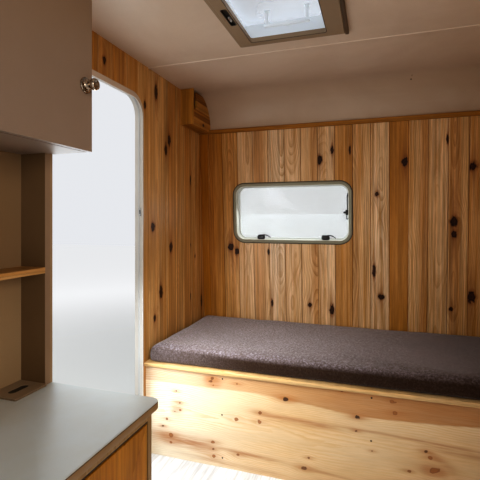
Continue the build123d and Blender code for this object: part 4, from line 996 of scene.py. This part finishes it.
def makeCushion(look):
    # Foam mattress in wool: the remeshed box swells under pressure, each point moves no further than the cap, and
    # then the top gets its shallow dents and slack waves. Voxels are 12 mm because the mattress is nearly 2 m long.
    points, faces, rowOf = cushionStart(look)
    mesh = bpy.data.meshes.new("mattressStart")
    mesh.from_pydata(points.tolist(), [], faces)
    raw = bpy.data.objects.new("mattressStart", mesh)
    scene.collection.objects.link(raw)
    remesh = raw.modifiers.new("remesh", "REMESH")
    remesh.mode = "VOXEL"
    remesh.voxel_size = look["voxel"]
    remesh.adaptivity = 0
    graph = bpy.context.evaluated_depsgraph_get()
    mesh = bpy.data.meshes.new_from_object(raw.evaluated_get(graph))
    bpy.data.objects.remove(raw)
    mesh.name = "mattressCushion"
    piece = bpy.data.objects.new("mattressCushion", mesh)
    scene.collection.objects.link(piece)
    before = meshPoints(mesh)
    after = before.copy()
    cloth = piece.modifiers.new("cloth", "CLOTH")
    for key, value in look["cloth"].items():
        setattr(cloth.settings, key, value)
    cloth.settings.effector_weights.gravity = 0
    cloth.point_cache.frame_start = 1
    cloth.point_cache.frame_end = look["frames"]
    for step in range(1, look["frames"] + 1):
        scene.frame_set(step)
    graph = bpy.context.evaluated_depsgraph_get()
    settled = bpy.data.meshes.new_from_object(piece.evaluated_get(graph))
    after = meshPoints(settled)
    piece.modifiers.remove(cloth)
    bpy.data.meshes.remove(settled)
    scene.frame_set(1)
    move = after - before
    far = np.linalg.norm(move, axis=1)
    after = before + move * (np.minimum(far, look["cap"]) / np.maximum(far, 1e-9))[:, None]
    x, y, z = after.T
    left, right, near, back = look["box"]
    top = np.clip((z - 0.52) / 0.02, 0, 1)
    inside = np.clip(np.minimum(np.minimum(x - left, right - x), np.minimum(y - near, back - y)) / 0.06, 0, 1)
    rise = 0.0025 * inside + 0.0014 * swell(x, y, 21, 0.42) + 0.0007 * swell(x, y, 22, 0.13)
    for dentX, dentY, size, depth in look["dents"]:
        rise = rise - depth * np.exp(-((x - dentX) ** 2 + (y - dentY) ** 2) / size ** 2)
    z = z + top * rise
    side = np.clip((0.545 - z) / 0.02, 0, 1) * np.clip((z - 0.478) / 0.01, 0, 1)
    slack = 0.0012 * swell(x, z * 3, 23, 0.16) + 0.0008 * swell(x, z * 2, 24, 0.06)
    y = y + side * slack * np.where(y < (near + back) / 2, 1, -1)
    halfLength, front, under, over = look["room"]
    x = np.clip(x, -halfLength, halfLength)
    y = np.clip(y, front, 0.9055 - (z - lean["height"]) * math.tan(lean["angle"]) - 0.0006)
    z = np.clip(z, under, over)
    mesh.vertices.foreach_set("co", np.stack([x, y, z], 1).ravel())
    mesh.update()
    mesh.materials.clear()
    mesh.materials.append(woolMaterial("melangeWool", look["wool"]))
    mesh.shade_smooth()
    finer = piece.modifiers.new("finer", "SUBSURF")
    finer.levels = finer.render_levels = 1
    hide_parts("cushion")
    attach(piece, "body_shell")


makeCushion(cushionLook)
print("stage: cushion settled")

windowBox = (-0.738, -0.074, 1.0345, 1.3525)
windowCorner = 0.05
windowLook = {
    # outward offset from the clear opening and place through the wall
    "frame": [(0.0, 0.9465), (0.0, 0.9052), (0.0004, 0.9036), (0.0014, 0.9028), (0.0030, 0.9025), (0.0044, 0.9029),
              (0.0052, 0.9037), (0.0060, 0.9037), (0.0070, 0.9028), (0.0100, 0.9018), (0.0140, 0.9014),
              (0.0175, 0.9020),
              (0.0200, 0.9036), (0.0209, 0.9056), (0.0210, 0.9065), (0.0040, 0.9065), (0.0040, 0.9440),
              (0.0160, 0.9440),
              (0.0160, 0.9458), (0.0152, 0.9470), (0.0008, 0.9470)],
    # a dark rubber gasket round the frame, dark also as the painted shadow line between frame and wall
    "gasketAndShadow": {"outward": 0.0222, "depth": 0.9053, "half": (0.0024, 0.0016)},
    "bead": {"outward": -0.0028, "depth": 0.9575, "half": (0.0046, 0.0032)},
    "pane": [(0.005, 0.9615), (0.0068, 0.9609), (0.0080, 0.9590), (0.0082, 0.9516), (0.0090, 0.9506),
             (0.0126, 0.9506),
             (0.0140, 0.9520), (0.0140, 0.9590), (0.0128, 0.9622), (0.0100, 0.9641), (0.0050, 0.9648)],
}


def ovalLoop(outward, depth, half, steps=10):
    turns = np.linspace(0, 2 * np.pi, steps, endpoint=False)
    return [(outward + half[0] * math.cos(t), depth + half[1] * math.sin(t)) for t in turns]


def makeWindow(look):
    points, faces, rowOf = loft(leaning(ringsOn(windowBox, windowCorner, look["frame"], "xzy", 9)), wrap=True)
    # the reveal's rows take the paler finish as painted light
    bands = np.where((rowOf <= 3) | (rowOf >= 20), 1, 0)
    addPiece("windowFrame", points, faces, {
        "materials": [materials["windowFrame"], materials["litWindowReveal"]], "body": "body_shell",
        "slot": "window_frame",
        "replaces": ["window_frame"], "sharp": 50}, bands)
    for name, key, material, slotName in (("windowGasketAndShadow", "gasketAndShadow", materials["rubber"], "seal_rubber"),
                                          ("windowBead", "bead", milky, "clear_acrylic")):
        ring = look[key]
        loop = ovalLoop(ring["outward"], ring["depth"], ring["half"])
        addParts(name, [loft(leaning(ringsOn(windowBox, windowCorner, loop, "xzy", 9)), wrap=True)],
                 shown(material, slotName))
    addParts("windowPane", [loft(leaning(ringsOn(windowBox, windowCorner, look["pane"], "xzy", 9)))],
             shown(clear, "clear_acrylic", "window_pane"))


makeWindow(windowLook)

catchLook = {"places": (-0.598, -0.214), "height": 1.0465, "body": (0.0235, 0.0085, 0.0125), "lever": 0.070}


def makeCatches(look):
    # Each catch: a rounded block with a hub to the pane, a foot plate there, and a lever that arches up and droops.
    parts = []
    for x in look["places"]:
        z = look["height"]
        parts.append(pebble((x + 0.012, 0.9070, z + 0.001), look["body"], (0.5, 0.5), 12, 24))
        parts.append(pebble((x + 0.004, 0.9040, z + 0.009), (0.012, 0.007, 0.008), (0.9, 0.9), 10, 20))
        path = smoothPath([(x + 0.010, 0.906, z + 0.009), (x + 0.030, 0.9035, z + 0.0205),
                           (x + 0.052, 0.9035, z + 0.0170),
                           (x + look["lever"], 0.905, z - 0.001)], 22)
        fade = np.linspace(0, 1, 22)
        sizes = np.stack([0.0062 - 0.0022 * fade, 0.0046 - 0.0022 * fade],
                         1) * np.sqrt(np.clip((1.06 - fade) * 9, 0.05, 1))[:, None]
        parts.append(loft(tubeRings(path, (0, 1, 0), sizes)))
        hub = [(0.0, 0.9080), (0.0075, 0.9082), (0.0075, 0.9200), (0.0055, 0.9230), (0.0055, 0.9560),
               (0.0090, 0.9600), (0.0, 0.9604)]
        parts.append(lathe((x, 0, z), "y", hub, 18))
        parts.append(pebble((x, 0.9590, z + 0.0015), (0.0145, 0.0022, 0.0105), (0.3, 0.5), 8, 22))
    addParts("windowCatches", parts, shown(materials["black"], "black_plastic", "window_catches", leaning=True))


makeCatches(catchLook)

stayLook = {"x": -0.080, "depth": 0.9185, "middle": 1.1935, "top": 0.100, "rod": 0.0030}


def makeStay(look):
    # The stay's rod bends over to the frame at its top. A ribbed knob clamps it, a wing at its left, a hook below.
    x, y, z = look["x"], look["depth"], look["middle"]
    rod = smoothPath([(x + 0.006, y, z + look["top"]), (x - 0.0035, y, z + look["top"] + 0.006),
                      (x - 0.001, y, z + 0.08),
                      (x, y, z + 0.05), (x, y, z + 0.01)], 30)
    parts = [loft(tubeRings(rod, (0, 1, 0), (look["rod"], look["rod"])))]
    parts.append(pebble((x + 0.0035, y, z + look["top"]), (0.0042, 0.0062, 0.010), (0.4, 0.4), 8, 16))
    heights = np.linspace(-0.014, 0.014, 29)
    ribs = 0.0078 + 0.0006 * np.cos(heights / 0.028 * 2 * np.pi * 5)
    profile = [(0, -0.0148), (0.006, -0.0148)] + list(zip(ribs, heights)) + [(0.006, 0.0148), (0, 0.0148)]
    parts.append(lathe((x - 0.003, y, z), "z", profile, 22))
    parts.append(pebble((x - 0.0145, y - 0.001, z), (0.0085, 0.0036, 0.0062), (0.8, 0.6), 10, 20))
    hook = smoothPath([(x - 0.003, y, z - 0.012), (x - 0.005, y, z - 0.026), (x - 0.010, y, z - 0.036),
                       (x - 0.001, y, z - 0.046),
                       (x + 0.0045, y, z - 0.036), (x + 0.0045, y, z - 0.030)], 30)
    parts.append(loft(tubeRings(hook, (0, 1, 0), (0.0024, 0.0024))))
    parts.append(pebble((x - 0.002, 0.9400, z), (0.0038, 0.0205, 0.0048), (0.4, 0.4), 8, 16))
    addParts("windowStay", parts, shown(materials["black"], "black_plastic", "window_stay", leaning=True))


makeStay(stayLook)
print("stage: window made")

hatchLook = {
    "square": (-0.4745, -0.0225, -0.328, 0.124), "corner": 0.040,
    "dome": [(-0.060, 1.9820), (-0.021, 1.9808), (-0.0125, 1.9780), (-0.0060, 1.9725), (-0.0035, 1.9650),
             (-0.0035, 1.9362),
             (-0.0028, 1.9355), (-0.0008, 1.9355), (0.0, 1.9362), (0.0, 1.9660), (-0.0030, 1.9740), (-0.0100, 1.9805),
             (-0.0200, 1.9838), (-0.0270, 1.9842), (-0.0300, 1.9830), (-0.0340, 1.9830), (-0.0370, 1.9845),
             (-0.060, 1.9852)],
    "opening": (-0.411, -0.108, -0.2785, 0.0745),
    "slot": (-0.4390, -0.4190, -0.2080, -0.0900),
}


def makeHatch(look):
    addParts("hatchDome", [loft(ringsOn(look["square"], look["corner"], look["dome"], "xyz", 8))],
             shown(lidClear, "clear_acrylic", "hatch_lid", "roof_hatch_lid"))
    # The bar hangs from the dome on two tapered posts and carries a round latch.
    parts = [pebble((-0.2595, 0.0525, 1.9220), (0.0915, 0.0088, 0.0060), (0.3, 0.35), 12, 40)]
    for x in (-0.339, -0.180):
        post = [(0.0035, 1.9815), (0.0035, 1.9785), (0.0005, 1.9770), (0.0, 1.9700), (-0.0005, 1.9300),
                (-0.0010, 1.9230)]
        parts.append(loft(ringsOn((x - 0.007, x + 0.007, 0.0465, 0.0585), 0.003, post, "xyz", 4)))
    knob = [(0, 1.9130), (0.0085, 1.9132), (0.0100, 1.9150), (0.0100, 1.9180), (0.0070, 1.9200), (0.0070, 1.9230),
            (0, 1.9230)]
    parts.append(lathe((-0.2595, 0.0525, 0), "z", knob, 22))
    addParts("hatchBar", parts, shown(materials["hatchWhite"], "white_plastic", "hatch_handle", "roof_hatch_lid"))
    # A black tray lines the slot in the frame, with a metal latch in it.
    tray = [(-0.0006, 1.8818), (-0.0006, 1.8745), (0.0012, 1.8741), (0.0018, 1.8735), (0.0012, 1.8729),
            (-0.0014, 1.8729),
            (-0.0024, 1.8738), (-0.0030, 1.8800), (-0.0045, 1.8806)]
    addParts("hatchSlotTray", [loft(ringsOn(look["slot"], 0.0045, tray, "xyz", 5))],
             shown(materials["black"], "black_plastic"))
    latch = [pebble((-0.4290, -0.1350, 1.8770), (0.0052, 0.0150, 0.0030), (0.5, 0.5), 10, 20),
             pebble((-0.4275, -0.1230, 1.8745), (0.0036, 0.0045, 0.0036), (0.9, 0.9), 10, 18)]
    addParts("hatchLatch", latch, shown(materials["steel"], "knob_metal"))
    # A dark bead round the opening, and a dark strip in the frame's step on the far side from the slot as painted
    # shadow on the frame's side in shade.
    bead = ovalLoop(0.0006, 1.8742, (0.0016, 0.0011))
    addParts("hatchBead", [loft(ringsOn(look["opening"], 0.010, bead, "xyz", 6), wrap=True)],
             shown(materials["hatchBeadAndShadow"], "seal_rubber"))
    strip = [(-0.0015, 1.8788), (0.0, 1.8784), (0.0, 1.8752), (-0.0012, 1.8741), (-0.003, 1.8738)]
    addParts("hatchShadowStrip", [loft(ringsOn((-0.0405, -0.0268, -0.3225, 0.1185), 0.003, strip, "xyz", 4))],
             shown(materials["hatchBeadAndShadow"], "seal_rubber"))


makeHatch(hatchLook)
print("stage: hatch made")

worktopLook = {
    "box": (-0.975, -0.502, -0.9435, -0.5035), "corners": (0.026, 0.0008, 0.0008, 0.0008),
    "edge": [(-0.0030, 0.6280), (-0.0008, 0.6284), (0.0, 0.6296), (0.0, 0.6458), (0.0, 0.6472), (-0.0004, 0.6482),
             (-0.0012, 0.6491),
             (-0.0026, 0.6498), (-0.0045, 0.6500)],
}
points, faces, rowOf = loft(ringsOn(worktopLook["box"], worktopLook["corners"], worktopLook["edge"], "xyz", 9))
addPiece("galleyWorktop", points, faces, {
    "materials": [worktopPaint, materials["worktopBand"], materials["worktopRim"]], "body": "body_shell",
    "slot": "worktop_laminate", "replaces": ["worktop"]}, np.where(rowOf <= 2, 1, np.where(rowOf <= 4, 2, 0)))

knobProfile = [(0, 0), (0.0225, 0.0), (0.0235, 0.0012), (0.0235, 0.0040), (0.0222, 0.0062), (0.0190, 0.0072),
               (0.0160, 0.0066),
               (0.0140, 0.0068), (0.0105, 0.0100), (0.0085, 0.0150), (0.0085, 0.0190), (0.0110, 0.0225),
               (0.0150, 0.0255),
               (0.0172, 0.0300), (0.0174, 0.0345), (0.0158, 0.0388), (0.0138, 0.0402), (0.0118, 0.0404),
               (0.0100, 0.0392),
               (0.0060, 0.0398), (0, 0.0400)]
for name, node, body, place in (("lockerKnob", "locker_knob", "overhead_locker_door", (-0.735, -0.5345, 1.544)),
                                ("galleyKnob", "galley_knob", "galley_cabinet_door", (-0.517, -0.5865, 0.3485))):
    addParts(name, [lathe(place, "x", knobProfile, 36)], shown(materials["knob"], "knob_metal", node, body))

doorwayLook = {
    "box": (-0.4355, 0.169, 0.060, 1.727), "lowHead": (-0.4355, 0.169, 0.060, 1.713), "corner": 0.085,
    "seal": {"outward": -0.0006, "depth": -0.9925, "half": (0.0022, 0.0042)},
    "lip": {"outward": -0.0004, "depth": -0.9738, "half": (0.0014, 0.0014)},
}
for name, box, ring, material in (("doorwaySeal", doorwayLook["box"], doorwayLook["seal"], "rubberGrey"),
                                  ("doorwayLip", doorwayLook["lowHead"], doorwayLook["lip"], "white")):
    loop = ovalLoop(ring["outward"], ring["depth"], ring["half"])
    addParts(name, [loft(ringsOn(box, doorwayLook["corner"], loop, "yzx", 10), wrap=True)],
             shown(materials[material], "seal_rubber"))
addParts("strikePlate", [pebble((-0.9895, 0.1684, 1.189), (0.0078, 0.0011, 0.0200), (0.2, 0.3), 8, 24)],
         shown(materials["steel"], "hinge_steel"))
addParts("strikeSlot", [pebble((-0.9895, 0.1675, 1.189), (0.0036, 0.0009, 0.0095), (0.2, 0.3), 8, 20)],
         shown(materials["black"], "black_plastic"))

# painted shadow: a dark plate in the cover's slot, where the hole looks dark
addParts("coverSlotShadow", [pebble((-0.9245, -0.5915, 0.6520), (0.0165, 0.0360, 0.0022), (0.15, 0.2), 6, 28)],
         shown(materials["black"], "black_plastic"))

# One nail left in the lining's curve, and round-headed screws along the roof's edge rails.
addParts("liningNail", [pebble((0.2435, 0.7303, 1.8683), (0.0032, 0.0032, 0.0032), (1, 1), 8, 14)],
         shown(materials["screw"], "hinge_steel"))
dome = [(0, 0.0032), (0.0016, 0.0028), (0.0030, 0.0016), (0.0036, 0.0), (0.0036, -0.001), (0, -0.001)]
screws = [lathe((side * 1.0045, y, 1.9264), "z", dome, 12)
          for side in (-1, 1) for y in np.arange(-0.90, 0.66, 0.13)]
addParts("railScrews", screws, shown(materials["steel"], "rail_metal"))
print("stage: galley, doorway and fittings made")


def stagePlane(name, corners, material):
    mesh = bpy.data.meshes.new(name)
    mesh.from_pydata(corners, [], [(0, 1, 2, 3)])
    mesh.materials.append(material)
    piece = bpy.data.objects.new(name, mesh)
    scene.collection.objects.link(piece)
    return piece


# The pale floor glows more with distance, so that it runs into the sky without a dark horizon.
stageLook = {"reach": 14, "near": 1.6, "far": 6.0, "glow": 0.70}
stageFloor = Paint("paleStage")
acrossFloor, alongFloor, upFloor = stageFloor.split(stageFloor.place)
farAway = stageFloor.maths("SQRT", stageFloor.both(acrossFloor, acrossFloor,
                                                   stageFloor.times(alongFloor, alongFloor)))
stagePaint = stageFloor.finish({
    "Base Color": (0.76, 0.75, 0.73), "Roughness": 0.8, "Emission Color": (0.97, 0.98, 1.0),
    "Emission Strength": stageFloor.ease(farAway, stageLook["near"], stageLook["far"], 0.0, stageLook["glow"])})
reach = stageLook["reach"]
stagePlane("floorStage", [(-reach, -reach, 0), (reach, -reach, 0), (reach, reach, 0), (-reach, reach, 0)], stagePaint)

# The sky's picture is paler than the light it sheds, so that openings look bright from inside.
skyLook = {"colour": (0.95, 0.965, 1.0, 1), "light": 0.12, "picture": 0.80}
world = bpy.data.worlds.new("softSky")
scene.world = world
world.use_nodes = True
tree = world.node_tree
background = tree.nodes["Background"]
background.inputs[0].default_value = skyLook["colour"]
rays = tree.nodes.new("ShaderNodeLightPath")
strength = tree.nodes.new("ShaderNodeMapRange")
strength.inputs["To Min"].default_value = skyLook["light"]
strength.inputs["To Max"].default_value = skyLook["picture"]
tree.links.new(rays.outputs["Is Camera Ray"], strength.inputs["Value"])
tree.links.new(strength.outputs[0], background.inputs[1])

lights = {
    "doorSky": {"place": (-2.3, -0.2, 3.2), "aim": (-0.8, -0.1, 0.6), "size": (1.4, 1.4), "power": 54,
                "colour": (0.90, 0.96, 1.0)},
    "doorway": {"place": (-0.958, -0.13, 0.88), "aim": (0.0, -0.13, 0.88), "size": (0.56, 1.45), "power": 4.6,
                "colour": (0.86, 0.94, 1.0)},
    "doorwayLow": {"place": (-0.80, -0.22, 0.88), "aim": (-0.25, 0.30, 0.35), "size": (0.2, 0.45), "power": 5.6,
                   "spread": 150, "colour": (0.86, 0.94, 1.0)},
    "window": {"place": (-0.41, 0.915, 1.19), "aim": (-0.41, 0.5, 0.75), "size": (0.6, 0.22), "power": 1.2,
               "colour": (0.84, 0.93, 1.0)},
    "openSide": {"place": (2.1, -2.5, 1.8), "aim": (-0.7, 0.4, 0.9), "size": (1.5, 1.5), "power": 54,
                 "colour": (1.0, 0.93, 0.84)},
    "openLeft": {"place": (-1.2, -3.2, 1.5), "aim": (0.2, 0.5, 0.9), "size": (1.8, 1.8), "power": 8,
                 "colour": (1.0, 0.93, 0.84)},
    "endSide": {"place": (-0.5, 2.3, 3.2), "aim": (-0.4, 0.93, 1.2), "size": (1.6, 1.4), "power": 34,
                "colour": (0.97, 0.99, 1.0)},
    "offSide": {"place": (4.2, 0.2, 2.3), "aim": (1.0, 0.0, 1.0), "size": (2.4, 2.0), "power": 34,
                "colour": (1.0, 0.98, 0.95)},
    "above": {"place": (-1.0, -0.4, 5.2), "aim": (0, 0, 0.8), "size": (3.6, 3.6), "power": 40,
              "colour": (1.0, 0.99, 0.97)},
}
for name, look in lights.items():
    lamp = bpy.data.lights.new(name, "AREA")
    lamp.shape = "RECTANGLE"
    lamp.size, lamp.size_y = look["size"]
    lamp.energy = look["power"]
    lamp.color = look["colour"]
    lamp.spread = math.radians(look.get("spread", 180))
    lampObject = bpy.data.objects.new(name, lamp)
    lampObject.location = look["place"]
    lampObject.rotation_euler = (Vector(look["aim"]) - Vector(look["place"])).to_track_quat("-Z", "Y").to_euler()
    lampObject.visible_camera = False
    scene.collection.objects.link(lampObject)

# The horizon lies 20.5 pixels above the middle of a picture 480 pixels high.
cameraLook = {"place": (0.069, -1.5355, 1.153), "turn": 18.16, "lens": 30.87, "sensor": 36, "shift": -20.5 / 480,
              "near": 0.02, "exposure": -0.4}
cameraData = bpy.data.cameras.new("photoCamera")
cameraData.sensor_width = cameraLook["sensor"]
cameraData.lens = cameraLook["lens"]
cameraData.shift_y = cameraLook["shift"]
cameraData.clip_start = cameraLook["near"]
cameraObject = bpy.data.objects.new("photoCamera", cameraData)
cameraObject.location = cameraLook["place"]
cameraObject.rotation_euler = (math.radians(90), 0, math.radians(cameraLook["turn"]))
scene.collection.objects.link(cameraObject)
scene.camera = cameraObject
scene.view_settings.view_transform = "Standard"
scene.view_settings.look = "High Contrast"
scene.view_settings.exposure = cameraLook["exposure"]
print("stage: light and camera placed")
